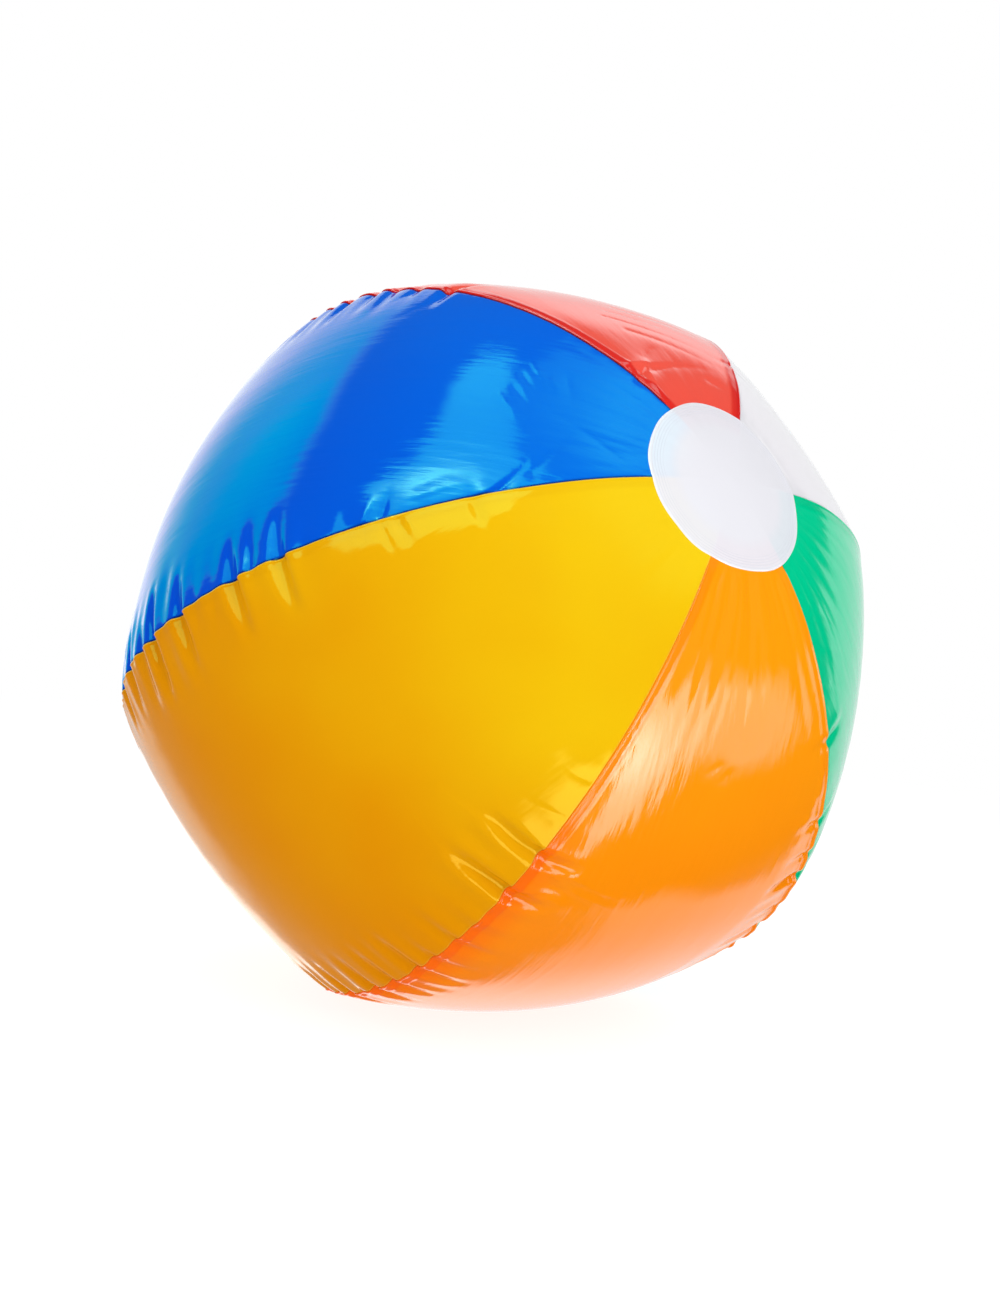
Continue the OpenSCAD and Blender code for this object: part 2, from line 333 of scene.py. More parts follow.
        b = (T * ih1 - TL * ih2) * KT
        b1, b2 = b * ih1, b * ih2
        F += b1 + b2
        F[:, :, 1:] -= b1[:, :, :-1]
        F[:, :, 0] -= b1[:, :, -1]
        F[:, :, :-1] -= b2[:, :, 1:]
        F[:, :, -1] -= b2[:, :, 0]
        ds = np.zeros_like(X)
        ds[:, 1:-1] = X[:, 2:] - X[:, :-2]
        dt = T + TL
        c = f32(p / 4)
        F[0] -= c * (ds[1] * dt[2] - ds[2] * dt[1])
        F[1] -= c * (ds[2] * dt[0] - ds[0] * dt[2])
        F[2] -= c * (ds[0] * dt[1] - ds[1] * dt[0])
        if it % 4 == 0:
            for i in range(3):
                C = (Asf.T @ ((X[i] - X0f[i]) * waf) @ Atf) / Wf
                teth[i] = (Asf @ C @ Atf.T) * push
        F -= teth
        V += F * iM
        V *= f32(damp)
        X += V
    X = X.astype(float)
    # take out what the film drifted on the whole, so that it lies on the CAD shape
    for i in range(3):
        C = (As.T @ ((X[i] - X0[i]) * wa) @ At) / Wn
        X[i] -= (As @ C @ At.T) * (~pin)[:, None]
    return X, phi, tau, wid, nt1


def spline_matrix(x, xf):
    """Rows of weights that take values at x to a natural cubic spline's values at xf."""
    n = len(x)
    hx = np.diff(x)
    A, B = np.zeros((n, n)), np.zeros((n, n))
    A[0, 0] = A[-1, -1] = 1
    for i in range(1, n - 1):
        A[i, i - 1], A[i, i], A[i, i + 1] = hx[i - 1], 2 * (hx[i - 1] + hx[i]), hx[i]
        B[i, i - 1], B[i, i], B[i, i + 1] = 6 / hx[i - 1], -6 / hx[i - 1] - 6 / hx[i], 6 / hx[i]
    M2 = np.linalg.solve(A, B)
    out = np.zeros((len(xf), n))
    for r, v in enumerate(xf):
        i = min(max(int(np.searchsorted(x, v)) - 1, 0), n - 2)
        t0, t1, hh = x[i], x[i + 1], hx[i]
        a, b = (t1 - v) / hh, (v - t0) / hh
        out[r, i] += a
        out[r, i + 1] += b
        out[r] += ((a ** 3 - a) * M2[i] + (b ** 3 - b) * M2[i + 1]) * hh * hh / 6
    return out


Q_SOLVE = [0, 1.1, 2.3, 3.7, 5.3, 7.2, 9.5, 12.2, 15.5, 19.3, 23.6, 28.6, 34.2, 40.4, 47, 54, 61.4, 69.2, 77.4, 86.4]
Q_FINE = [0, .22, .45, .75, 1.1, 1.6, 2.3, 3.2, 3.9, 4.4, 4.9, 5.6, 6.8, 8.4, 10.2, 12.2] + [14.4 + 2.4 * i for i in range(31)]
Q_FINE[-1] = Q_SOLVE[-1]
NS = 400
NR = 532
X, phi, tau, wid, nt1 = blow_up(NS, Q_SOLVE, 900)

qf = np.array(Q_FINE) / Q_FINE[-1]
tau_f = np.concatenate([-(1 - qf[:-1]), (1 - qf)[::-1]])
W_T = spline_matrix(tau, tau_f)
# rows are closer together round the middle, where the tucks are
u_ = np.linspace(0, 1, 2001)
dense = np.cumsum(1 + 0.55 * np.exp(-((u_ - 0.56) / 0.27) ** 4))
rows_f = np.interp(np.linspace(dense[0], dense[-1], NR), dense, u_) * (NS - 1)
W_S = spline_matrix(np.arange(NS, dtype=float), rows_f)
phi_f = np.interp(rows_f, np.arange(NS), phi)
wid_f = np.interp(rows_f, np.arange(NS), wid)
s_f = phi_f * R_ARC
panel_grid = []
X_base = base_grid(NS, Q_SOLVE)[0]


def ironed(D, sigma):
    """Values along the rows, smoothed over a length in metres."""
    step = 2 * PHI_MAX * R_ARC / (NS - 1)
    n = int(3 * sigma / step) + 1
    w = np.exp(-0.5 * (np.arange(-n, n + 1) * step / sigma) ** 2)
    w /= w.sum()
    P = np.concatenate([np.repeat(D[:, :1], n, 1), D, np.repeat(D[:, -1:], n, 1)], 1)
    return sum(wi * P[:, i:i + NS] for i, wi in enumerate(w))


def iron_mask(seam):
    """Where along a seam it is drawn smooth, away from its tucks: 0 to 1 for each row."""
    m = np.interp(np.degrees(phi), *zip(*IRON[seam]))
    for lat, strength in NOTCHES[seam][0]:
        m = m * (1 - min(1, strength) * np.exp(-((phi - math.radians(lat)) * R_ARC / 0.0045) ** 2))
    return m


D_all = X - X_base
D_smooth = ironed(D_all, 0.009)
iron = [iron_mask(k) for k in range(6)]
for k in range(6):
    cols = [(k * nt1 + j) % (6 * nt1) for j in range(nt1 + 1)]
    q_c = (1 - np.abs(tau))[None, :] * wid[:, None]
    m = np.where(tau[None, :] < 0, iron[k][:, None], iron[(k + 1) % 6][:, None]) * np.exp(-(q_c / 0.022) ** 2) * 0.94
    Dk = D_all[:, :, cols] * (1 - m) + D_smooth[:, :, cols] * m
    G = np.moveaxis(X_base[:, :, cols] + Dk, 0, -1)           # rows, columns, 3
    G = np.einsum("fc,rcx->rfx", W_T, G)
    panel_grid.append(np.einsum("fr,rcx->fcx", W_S, G))


def grid_normals(G):
    a = np.gradient(G, axis=0)
    b = np.gradient(G, axis=1)
    n = np.cross(b, a)
    n /= np.linalg.norm(n, axis=-1, keepdims=True)
    return n


# ---------------------------------------------------------------- folds that film keeps from the packet and from its welds
def to_panel(k, az, lat):
    """A place on the ball, in degrees, as (along, across) metres on panel k."""
    azl = math.radians((az - 60 * k - 30 + 180) % 360 - 180)
    ph = math.radians(lat)
    rho = SET - OFF + R_ARC * math.cos(ph)
    ca = math.cos(azl)
    rr = -SET * ca + math.sqrt((SET * ca) ** 2 - SET ** 2 + rho ** 2)
    return R_ARC * ph, math.atan2(rr * math.sin(azl), rr * ca + SET) * rho


def along_line(S, U, pts):
    """Distance to a polyline, which side of it, and how far along it (0 to 1)."""
    best = np.full(S.shape, 1e9)
    side = np.zeros(S.shape)
    run = np.zeros(S.shape)
    seg = [math.hypot(b[0] - a[0], b[1] - a[1]) for a, b in zip(pts[:-1], pts[1:])]
    total = sum(seg)
    done = 0.0
    for (a, b, L_) in zip(pts[:-1], pts[1:], seg):
        ex, ey = (b[0] - a[0]) / L_, (b[1] - a[1]) / L_
        t = np.clip((S - a[0]) * ex + (U - a[1]) * ey, 0, L_)
        dx, dy = S - a[0] - t * ex, U - a[1] - t * ey
        dd = np.hypot(dx, dy)
        near = dd < best
        best = np.where(near, dd, best)
        side = np.where(near, np.sign(ex * (U - a[1]) - ey * (S - a[0])), side)
        run = np.where(near, (done + t) / total, run)
        done += L_
    return best, side, run


# (panel, kind, height mm, width mm, places on the ball); the height runs out along the line
FOLDS = [
    (0, "tuck", 0.42, 3.4, [(60.0, 31.6), (53, 30.8), (47, 29.6), (40, 28.6), (33, 28)]),
    (0, "tuck", 0.40, 3.2, [(60.0, 23.9), (53.5, 23.6), (46.5, 23.2), (40, 23.6), (34, 24.5)]),
    (0, "valley", 0.30, 1.2, [(59, 38), (54, 36.5), (49, 36)]),
    (0, "valley", 0.35, 1.2, [(60, 44), (56, 43), (52, 43.5)]),
    (0, "valley", 0.35, 1.0, [(0, 43), (3.5, 42.5), (7, 41.5)]),
    (0, "valley", 0.25, 1.0, [(0, 38.5), (3.0, 38), (6.5, 36.5)]),
    (0, "valley", 0.30, 1.3, [(0, 54), (3.5, 53), (6, 51)]),
    (0, "valley", 0.30, 1.6, [(2, 14), (9, 11), (15, 9)]),
    (0, "valley", 0.28, 1.6, [(2, 10), (9, 7), (17, 4)]),
    (1, "ridge", 0.50, 0.9, [(60.5, 31.5), (67, 30), (75, 28.2), (80, 27.6)]),
    (1, "ridge", 0.45, 0.9, [(62, 30.3), (68, 28), (75, 26.2), (80, 25)]),
    (1, "valley", 0.55, 1.1, [(60.2, 32), (64, 29.5), (69, 27.3)]),
    (1, "ridge", 0.55, 0.9, [(60.5, 24.5), (64, 24.5), (68, 23.8), (71, 23.5)]),
    (1, "ridge", 0.40, 0.8, [(60.8, 25.0), (63.5, 26.5), (67.5, 27.0)]),
    (1, "valley", 0.45, 1.0, [(60.5, 24), (64, 23.2), (69, 22)]),
    (1, "ridge", 0.12, 0.5, [(119.0, 47), (117.2, 42), (115, 36), (111.8, 27), (109, 18), (106, 8)]),
    (1, "bend", 1.0, 8.0, [(119.8, 50), (118, 44), (115, 36), (111.8, 27), (109, 18), (106, 8), (102, -6)]),
    (1, "valley", 0.35, 2.0, [(90.5, 53.5), (91.8, 51.8), (92.5, 50)]),
    (1, "valley", 0.25, 1.3, [(86, 49.5), (84, 48.2), (82.5, 46)]),
    (1, "valley", 0.22, 1.2, [(89.5, 48.5), (88, 47), (87, 45)]),
    (4, "ridge", 0.90, 1.5, [(299.5, 68.4), (292, 68.2), (284, 67.8), (276, 67.2), (268, 66)]),
    (4, "valley", 1.10, 1.7, [(299.5, 70.2), (292, 69.6), (284, 68.9), (272, 67.6), (258, 66.6), (247, 66.4)]),
    (4, "ridge", 0.90, 1.4, [(289, 68.9), (292, 70.6), (295.5, 72.6), (298.5, 75.0)]),
    (4, "valley", 0.90, 1.4, [(293, 69.6), (296, 71.4), (299.2, 73.2)]),
    (4, "valley", 0.45, 1.2, [(279, 54), (264, 57.5), (250, 60.5), (241.5, 62.5)]),
    (4, "valley", 0.45, 1.2, [(274, 51), (260, 54), (247, 57.4), (241.5, 58.6)]),
    (4, "valley", 0.40, 1.2, [(277, 58.5), (266, 60.6), (253, 63.6), (244, 65.2)]),
    (4, "valley", 0.40, 1.2, [(268, 48), (256, 50.5), (246, 53.6), (241.5, 55)]),
    (4, "valley", 0.50, 1.6, [(284, 66.4), (277, 64), (268, 62.2)]),
    (4, "valley", 0.35, 1.5, [(256, 69.5), (248, 70.8), (241.5, 71.2)]),
    (5, "tuck", 1.8, 2.4, [(359.8, 54.6), (357.4, 56.6), (354.0, 59.0), (350.5, 60.2)]),
    (5, "valley", 0.5, 1.3, [(356, 60.5), (348, 63.5), (339, 65.5)]),
    (5, "valley", 0.9, 1.5, [(359.4, 41.2), (356.6, 41.8), (353.4, 42.4)]),
    (5, "ridge", 0.8, 1.3, [(359.4, 38.8), (356.8, 39.6), (354.6, 40.2)]),
    (5, "ridge", 0.22, 1.0, [(357.5, 46), (356.6, 50), (356.8, 54)]),
    (5, "valley", 0.22, 1.0, [(355.0, 45.5), (353.8, 49.5), (354.4, 53)]),
    (0, "valley", 0.7, 1.6, [(0.2, 43.6), (2.0, 43.0), (4.0, 42.0)]),
    (5, "ridge", 0.20, 0.6, [(321, 60.5), (323.5, 61.5), (327, 62.3)]),
    (5, "valley", 0.22, 1.4, [(350, 72), (338, 66), (330, 58)]),
    (5, "ridge", 0.22, 0.7, [(318, 57.5), (321.5, 59.5), (326, 61)]),
    (5, "valley", 0.26, 0.8, [(322, 56.5), (326, 58.5), (331, 60)]),
    (5, "valley", 0.26, 0.8, [(327, 56), (331, 58), (336, 59.5)]),
    (5, "ridge", 0.20, 0.7, [(331, 54.5), (335, 56.5), (340, 58)]),
    (5, "valley", 0.22, 0.8, [(318, 62.5), (323, 63.5), (330, 64.5)]),
    (5, "valley", 0.30, 1.2, [(301, 39), (306, 37), (311, 33)]),
    (5, "valley", 0.30, 1.2, [(301, 33), (306, 30), (312, 25)]),
    (2, "ridge", 0.30, 1.2, [(127, 62), (134, 59), (139, 55)]),
    (2, "ridge", 0.30, 1.1, [(124, 68), (131, 66.5), (137, 63)]),
    (2, "valley", 0.25, 1.2, [(126, 57), (132, 54), (136, 50)]),
]
# edges where the film rounds down to its weld: (+1 at the seam before the panel or -1 at the one after, mm, mm, latitudes,
# and where it lies flat between: latitude, half width in degrees, share)
ROLLED = {4: [(-1, 0.8, 3.2, 30, 77, [])], 0: [(1, 1.6, 7.0, 24, 62, [(41.0, 0.5, 0.6), (43.3, 0.75, 0.9), (52.8, 0.6, 0.8)])]}
STREAK = [0.7, 0.35, 0.45, 0.5, 0.25, 0.35]                    # how wavy each panel is, as a share
PLEAT = [0.10, 0.38, 0.16, 0.08, 0.05, 0.10]                 # mm, folds fanning out from the discs, panel by panel

t_rng = np.random.RandomState(21)
for k in range(6):
    G = panel_grid[k]
    Nn = grid_normals(G)
    if (Nn * G).sum() < 0:
        Nn = -Nn
    U = tau_f[None, :] * wid_f[:, None]
    S2 = np.broadcast_to(s_f[:, None], U.shape)
    q = wid_f[:, None] - np.abs(U)
    d = np.zeros(U.shape)
    for pk, kind, h_mm, w_mm, places in FOLDS:
        if pk != k:
            continue
        pts = [to_panel(k, az, lat) for az, lat in places]
        lo = np.array(pts).min(0) - 0.02
        hi = np.array(pts).max(0) + 0.02
        r_sel = (s_f > lo[0]) & (s_f < hi[0])
        Ss, Us = S2[r_sel], U[r_sel]
        dist, side, run = along_line(Ss, Us, pts)
        w = w_mm * MM * (1 + 1.2 * run)
        fade = np.clip((1 - run) / 0.75, 0, 1) ** 1.2
        fade = fade * np.clip(q[r_sel] / 0.0012, 0, 1)
        if kind == "tuck":                                   # a wall that faces the line's left side, narrowing along the line
            w = w_mm * MM * np.clip(1 - run, 0.02, 1) ** 0.8
            x = dist * np.where(side == 0, 1, side)
            prof = np.where(x < 0, 0.3 * np.exp(np.minimum(x, 0) / (1.5 * w)), np.where(x < w, 0.3 - 1.3 * x / w, -np.exp(-np.maximum(x - w, 0) / (1.3 * w))))
            d[r_sel] += h_mm / w_mm * w * (1 - 0.6 * run) * prof * np.clip(q[r_sel] / 0.0012, 0, 1) * np.clip((1 - run) / 0.1, 0, 1)
            continue
        if kind == "bend":                                   # the film turns down on the line's right side
            x = np.maximum(-dist * side, 0)
            d[r_sel] += -h_mm * MM * (1 - np.exp(-x / (w_mm * MM))) * np.clip(np.sin(np.pi * np.clip(run, 0, 1)) * 2.2, 0, 1) * np.clip(q[r_sel] / 0.0012, 0, 1)
            continue
        if kind == "valley":
            shape = -np.exp(-np.abs(dist) / w) * (1 - 0.12) - 0.12 * np.exp(-(dist / (3 * w)) ** 2)
        else:                                                # a sharp lip, steep on one side
            shape = np.where(side > 0, np.exp(-dist / (0.45 * w)), np.exp(-dist / (2.0 * w)))
        d[r_sel] += h_mm * MM * fade * shape
    for seam_side, roll_mm, w_mm, lo_l, hi_l, flats in ROLLED.get(k, ()):
        near = (np.sign(-tau_f)[None, :] == seam_side) * np.ones_like(q)
        lat_f = np.clip((np.degrees(phi_f) - lo_l) / 8, 0, 1) * np.clip((hi_l - np.degrees(phi_f)) / 5, 0, 1)
        for f_lat, f_w, f_d in flats:
            near = near * (1 - f_d * np.exp(-((np.degrees(phi_f)[:, None] - f_lat) / f_w) ** 2) * np.exp(-(q / 0.011) ** 4))
        d += near * roll_mm * MM * (1 - np.exp(-q / (w_mm * MM))) * np.exp(-(q / np.minimum(0.030, 0.48 * wid_f[:, None])) ** 2) * lat_f[:, None]
    # folds that fan out from both discs
    for pole in (1, -1):
        n_f = 11
        for i in range(n_f):
            t0 = -0.92 + 1.84 * (i + t_rng.uniform(0.15, 0.85)) / n_f
            end = math.radians(t_rng.uniform(50, 64))
            w = t_rng.uniform(1.0, 2.4) * MM
            drift = t_rng.uniform(-0.12, 0.12)
            amp = PLEAT[k] * t_rng.uniform(0.4, 1.2) * MM
            lat = pole * phi_f
            f = np.clip((lat - end) / (math.radians(76) - end), 0, 1)
            f = np.sqrt(f) * np.clip((math.radians(76.6) - lat) / math.radians(2.5), 0, 1)
            tl = t0 + drift * (1 - f)
            x = (tau_f[None, :] - tl[:, None]) * wid_f[:, None]
            d += -amp * f[:, None] * np.exp(-np.abs(x) / w)
            d += 0.55 * amp * f[:, None] * np.exp(-((x - 1.9 * w) / (1.3 * w)) ** 2)
    # long shallow streaks that the film is rolled with
    wave = np.zeros(U.shape)
    for _ in range(26):
        lam = t_rng.uniform(5.5, 15) * MM
        ang = t_rng.normal(0, math.radians(13))
        wave += lam * np.cos(2 * math.pi / lam * (U * math.cos(ang) + S2 * math.sin(ang)) + t_rng.uniform(0, 6.28)) * t_rng.uniform(0.4, 1)
    patch = hats(len(s_f), 13, False) @ t_rng.uniform(0.25, 1.4, (13, 8)) @ hats(len(tau_f), 8, False).T
    d += 0.0016 * STREAK[k] * wave * patch * np.clip(q / 0.010, 0, 1) * np.clip((math.radians(78) - np.abs(phi_f)) / math.radians(6), 0, 1)[:, None]
    panel_grid[k] = G + Nn * d[..., None]

normals = [grid_normals(G) for G in panel_grid]
for k in range(6):
    if (normals[k] * panel_grid[k]).sum() < 0:
        normals[k] = -normals[k]
for k in range(6):                                           # one normal along a shared seam
    a, b = normals[(k - 1) % 6][:, -1], normals[k][:, 0]
    m = a + b
    m /= np.linalg.norm(m, axis=-1, keepdims=True)
    normals[(k - 1) % 6][:, -1] = m
    normals[k][:, 0] = m


# ---------------------------------------------------------------- mesh making
def new_mesh(name, verts, faces, attrs=None, smooth=True, sharp=math.radians(48)):
    me = bpy.data.meshes.new(name)
    me.from_pydata([tuple(map(float, v)) for v in verts], [], faces)
    me.update()
    me.polygons.foreach_set("use_smooth", [smooth] * len(me.polygons))
    for a, values in (attrs or {}).items():
        values = np.asarray(values, np.float32)
        if values.ndim == 1:
            at = me.attributes.new(a, "FLOAT", "POINT")
            at.data.foreach_set("value", values)
        else:
            at = me.attributes.new(a, "FLOAT_COLOR", "POINT")
            at.data.foreach_set("color", np.concatenate([values, np.ones((len(values), 1), np.float32)], 1).ravel())
    if smooth and sharp:
        me.set_sharp_from_angle(angle=sharp)
    ob = bpy.data.objects.new(name, me)
    bpy.context.scene.collection.objects.link(ob)
    return ob


def shell(name, outer, inner, attrs, wrap=False):
    """A closed sheet between two grids of points [rows, columns, 3]."""
    n, m = outer.shape[:2]
    idx = np.arange(n * m).reshape(n, m)
    off = n * m
    if wrap:
        c0, c1 = np.arange(m), (np.arange(m) + 1) % m
    else:
        c0, c1 = np.arange(m - 1), np.arange(1, m)
    a, b = idx[:-1][:, c0], idx[:-1][:, c1]
    c, d = idx[1:][:, c1], idx[1:][:, c0]
    quads = np.stack([a, b, c, d], -1).reshape(-1, 4)
    faces = [quads, quads[:, ::-1] + off]
    rim = []
    for r, flip in ((0, False), (n - 1, True)):
        u, v = idx[r][c0], idx[r][c1]
        f = np.stack([u, u + off, v + off, v], -1)
        rim.append(f[:, ::-1] if flip else f)
    if not wrap:
        for cc, flip in ((0, True), (m - 1, False)):
            u, v = idx[:-1, cc], idx[1:, cc]
            f = np.stack([u, u + off, v + off, v], -1)
            rim.append(f[:, ::-1] if flip else f)
    faces += rim
    faces = np.concatenate(faces)
    verts = np.concatenate([outer.reshape(-1, 3), inner.reshape(-1, 3)])
    # outward faces
    p = verts[faces[0]]
    nrm = np.cross(p[1] - p[0], p[2] - p[0])
    mid = outer.reshape(-1, 3).mean(0)
    ref = outer[n // 2, m // 2] - inner[n // 2, m // 2]
    q0 = quads[len(quads) // 2]
    p = verts[q0]
    if np.dot(np.cross(p[1] - p[0], p[2] - p[0]), ref) < 0:
        faces = faces[:, ::-1]
    at = {k_: np.concatenate([v.reshape(n * m, -1).squeeze(), v.reshape(n * m, -1).squeeze()]) for k_, v in attrs.items()}
    return new_mesh(name, verts, faces.tolist(), at)


# ---------------------------------------------------------------- materials
def lin(r, g, b):
    out = []
    for v in (r, g, b):
        v /= 255
        out.append(v / 12.92 if v <= 0.04045 else ((v + 0.055) / 1.055) ** 2.4)
    return tuple(out) + (1.0,)


def nodes_of(name):
    mat = bpy.data.materials.new(name)
    mat.use_nodes = True
    nt = mat.node_tree
    nt.nodes.clear()
    return mat, nt, nt.nodes, nt.links


def mix_colour(nt, fac, a, b, blend="MIX"):
    n = nt.nodes.new("ShaderNodeMix")
    n.data_type = "RGBA"
    n.blend_type = blend
    for sock, val in ((n.inputs[0], fac), (n.inputs[6], a), (n.inputs[7], b)):
        if hasattr(val, "is_linked") or hasattr(val, "links"):
            nt.links.new(val, sock)
        else:
            sock.default_value = val
    return n.outputs[2]


def math_node(nt, op, a, b=None, c=None, clamp=False):
    n = nt.nodes.new("ShaderNodeMath")
    n.operation = op
    n.use_clamp = clamp
    for i, v in enumerate((a, b, c)):
        if v is None:
            continue
        if hasattr(v, "links"):
            nt.links.new(v, n.inputs[i])
        else:
            n.inputs[i].default_value = v
    return n.outputs[0]


def smooth_map(nt, v, lo, hi):
    n = nt.nodes.new("ShaderNodeMapRange")
    n.interpolation_type = "SMOOTHSTEP"
    n.inputs["From Min"].default_value, n.inputs["From Max"].default_value = lo, hi
    nt.links.new(v, n.inputs["Value"])
    return n.outputs["Result"]


def attr_node(nt, name):
    n = nt.nodes.new("ShaderNodeAttribute")
    n.attribute_name = name
    return n


def noise_node(nt, scale, detail=3.0, rough=0.55, vec=None):
    n = nt.nodes.new("ShaderNodeTexNoise")
    n.inputs["Scale"].default_value = scale
    n.inputs["Detail"].default_value = detail
    n.inputs["Roughness"].default_value = rough
    if vec is not None:
        nt.links.new(vec, n.inputs["Vector"])
    return n.outputs["Fac"]


def vinyl(name, lit_and_shaded_tones, axis, shade_span, deep, through, ior=1.5, tint=(1, 1, 1, 1), rough=0.07, glow=0.15, weld=None, lap_tone=0.2, streak=0.18, far=None):
    """Pigmented glossy film: its colour is painted darker away from the lit side along an axis (painted shade), is
    deeper along the weld, where a line of painted seam shade runs (a painted highlight line on yellow), and lets light
    through.
    """
    mat, nt, N, L = nodes_of(name)
    out = N.new("ShaderNodeOutputMaterial")
    p = N.new("ShaderNodeBsdfPrincipled")
    p.inputs["IOR"].default_value = ior
    p.inputs["Specular Tint"].default_value = tint
    tc = N.new("ShaderNodeTexCoord")
    dot = N.new("ShaderNodeVectorMath")
    dot.operation = "DOT_PRODUCT"
    L.new(tc.outputs["Object"], dot.inputs[0])
    dot.inputs[1].default_value = tuple(Vector(axis).normalized())
    cloud = noise_node(nt, 11.0, 2.0, 0.5, tc.outputs["Object"])
    run = math_node(nt, "MULTIPLY_ADD", math_node(nt, "SUBTRACT", cloud, 0.5), (shade_span[1] - shade_span[0]) * 0.5, dot.outputs["Value"])
    # painted shade: the colour runs from the shaded tone to the lit tone along the axis towards the light
    shade_ramp = N.new("ShaderNodeMapRange")
    shade_ramp.interpolation_type = "SMOOTHSTEP"
    shade_ramp.inputs["From Min"].default_value, shade_ramp.inputs["From Max"].default_value = shade_span
    L.new(run, shade_ramp.inputs["Value"])
    shade_tone = shade_ramp.outputs["Result"]
    # painted shade: yellow's darker shaded tone is kept off its far half, towards the valve
    if far:                                                   # the low tone ends before the valve half
        shade_tone = math_node(nt, "MAXIMUM", shade_tone, math_node(nt, "SUBTRACT", 1.0, smooth_map(nt, attr_node(nt, "along").outputs["Fac"], *far)))
    col = mix_colour(nt, shade_tone, lit_and_shaded_tones[0], lit_and_shaded_tones[1])
    lap = attr_node(nt, "lap").outputs["Fac"]
    near = attr_node(nt, "weld").outputs["Fac"]
    col = mix_colour(nt, math_node(nt, "MULTIPLY", lap, lap_tone), col, deep)
    # the weld line is painted seam shade over the real weld; yellow's paler line is a painted highlight
    col = mix_colour(nt, math_node(nt, "MULTIPLY", near, 0.9, clamp=True), col, weld or tuple(0.35 * v for v in deep[:3]) + (1,))
    L.new(col, p.inputs["Base Color"])
    fine = noise_node(nt, 900.0, 2.0, 0.6, tc.outputs["Object"])
    L.new(math_node(nt, "MULTIPLY_ADD", fine, 0.05, rough - 0.02), p.inputs["Roughness"])
    grain = N.new("ShaderNodeCombineXYZ")                     # fine streaks along the panel
    L.new(attr_node(nt, "across").outputs["Fac"], grain.inputs[0])
    L.new(attr_node(nt, "along").outputs["Fac"], grain.inputs[1])
    wave = noise_node(nt, 3.6, 3.0, 0.55, grain.outputs[0])
    both = math_node(nt, "MULTIPLY_ADD", fine, 0.03, wave)
    bump = N.new("ShaderNodeBump")
    bump.inputs["Strength"].default_value = 0.35
    bump.inputs["Distance"].default_value = streak * MM
    L.new(both, bump.inputs["Height"])
    L.new(bump.outputs["Normal"], p.inputs["Normal"])
    t = N.new("ShaderNodeBsdfTranslucent")
    t.inputs["Color"].default_value = through
    mx = N.new("ShaderNodeMixShader")
    mx.inputs[0].default_value = glow
    L.new(p.outputs[0], mx.inputs[1])
    L.new(t.outputs[0], mx.inputs[2])
    L.new(mx.outputs[0], out.inputs["Surface"])
    return mat


# the side the light comes from; the film colours are painted darker away from it (painted shade)
LIT_SIDE_AXIS = (0.62, -0.10, 0.78)
MATS = {
    "blue": vinyl("film_blue", (lin(0, 80, 220), lin(0, 103, 230)), LIT_SIDE_AXIS, (0.06, 0.25), lin(0, 50, 170), lin(0, 70, 220), ior=1.55, tint=(0.20, 1.0, 0.35, 1), weld=lin(0, 10, 60), streak=0.30),
    "yellow": vinyl("film_yellow", (lin(230, 143, 0), lin(247, 212, 14)), LIT_SIDE_AXIS, (0.0, 0.28), lin(214, 140, 0), lin(240, 140, 0), ior=1.55, tint=(1, 1, 0.15, 1), weld=lin(255, 206, 70), lap_tone=0.12, far=(-1.9, -0.9)),
    "orange": vinyl("film_orange", (lin(255, 140, 0), lin(255, 161, 8)), (0, 0, 1), (0.02, 0.2), lin(255, 92, 0), lin(255, 110, 0), ior=1.55, tint=(1, 1, 1, 1), weld=lin(236, 92, 0), lap_tone=0.7, streak=0.26),
    "green": vinyl("film_green", (lin(0, 194, 134), lin(0, 211, 152)), (0, 0, 1), (0.05, 0.25), lin(0, 160, 100), lin(0, 200, 130), ior=1.55, tint=(0.0, 1, 1, 1), weld=lin(0, 80, 45), streak=0.34),
    "white": vinyl("film_white", (lin(230, 229, 234), lin(233, 232, 237)), (0, 0, 1), (0.1, 0.3), lin(222, 221, 227), lin(230, 228, 232), ior=1.5, tint=(1, 0.7, 0.7, 1), weld=lin(205, 204, 212)),
    "red": vinyl("film_red", (lin(240, 66, 50), lin(252, 93, 75)), (0, 0, 1), (0.2, 0.32), lin(224, 22, 14), lin(235, 40, 30), ior=1.55, tint=(1, .9, .9, 1), weld=lin(214, 12, 12), lap_tone=0.85, streak=0.30),
}

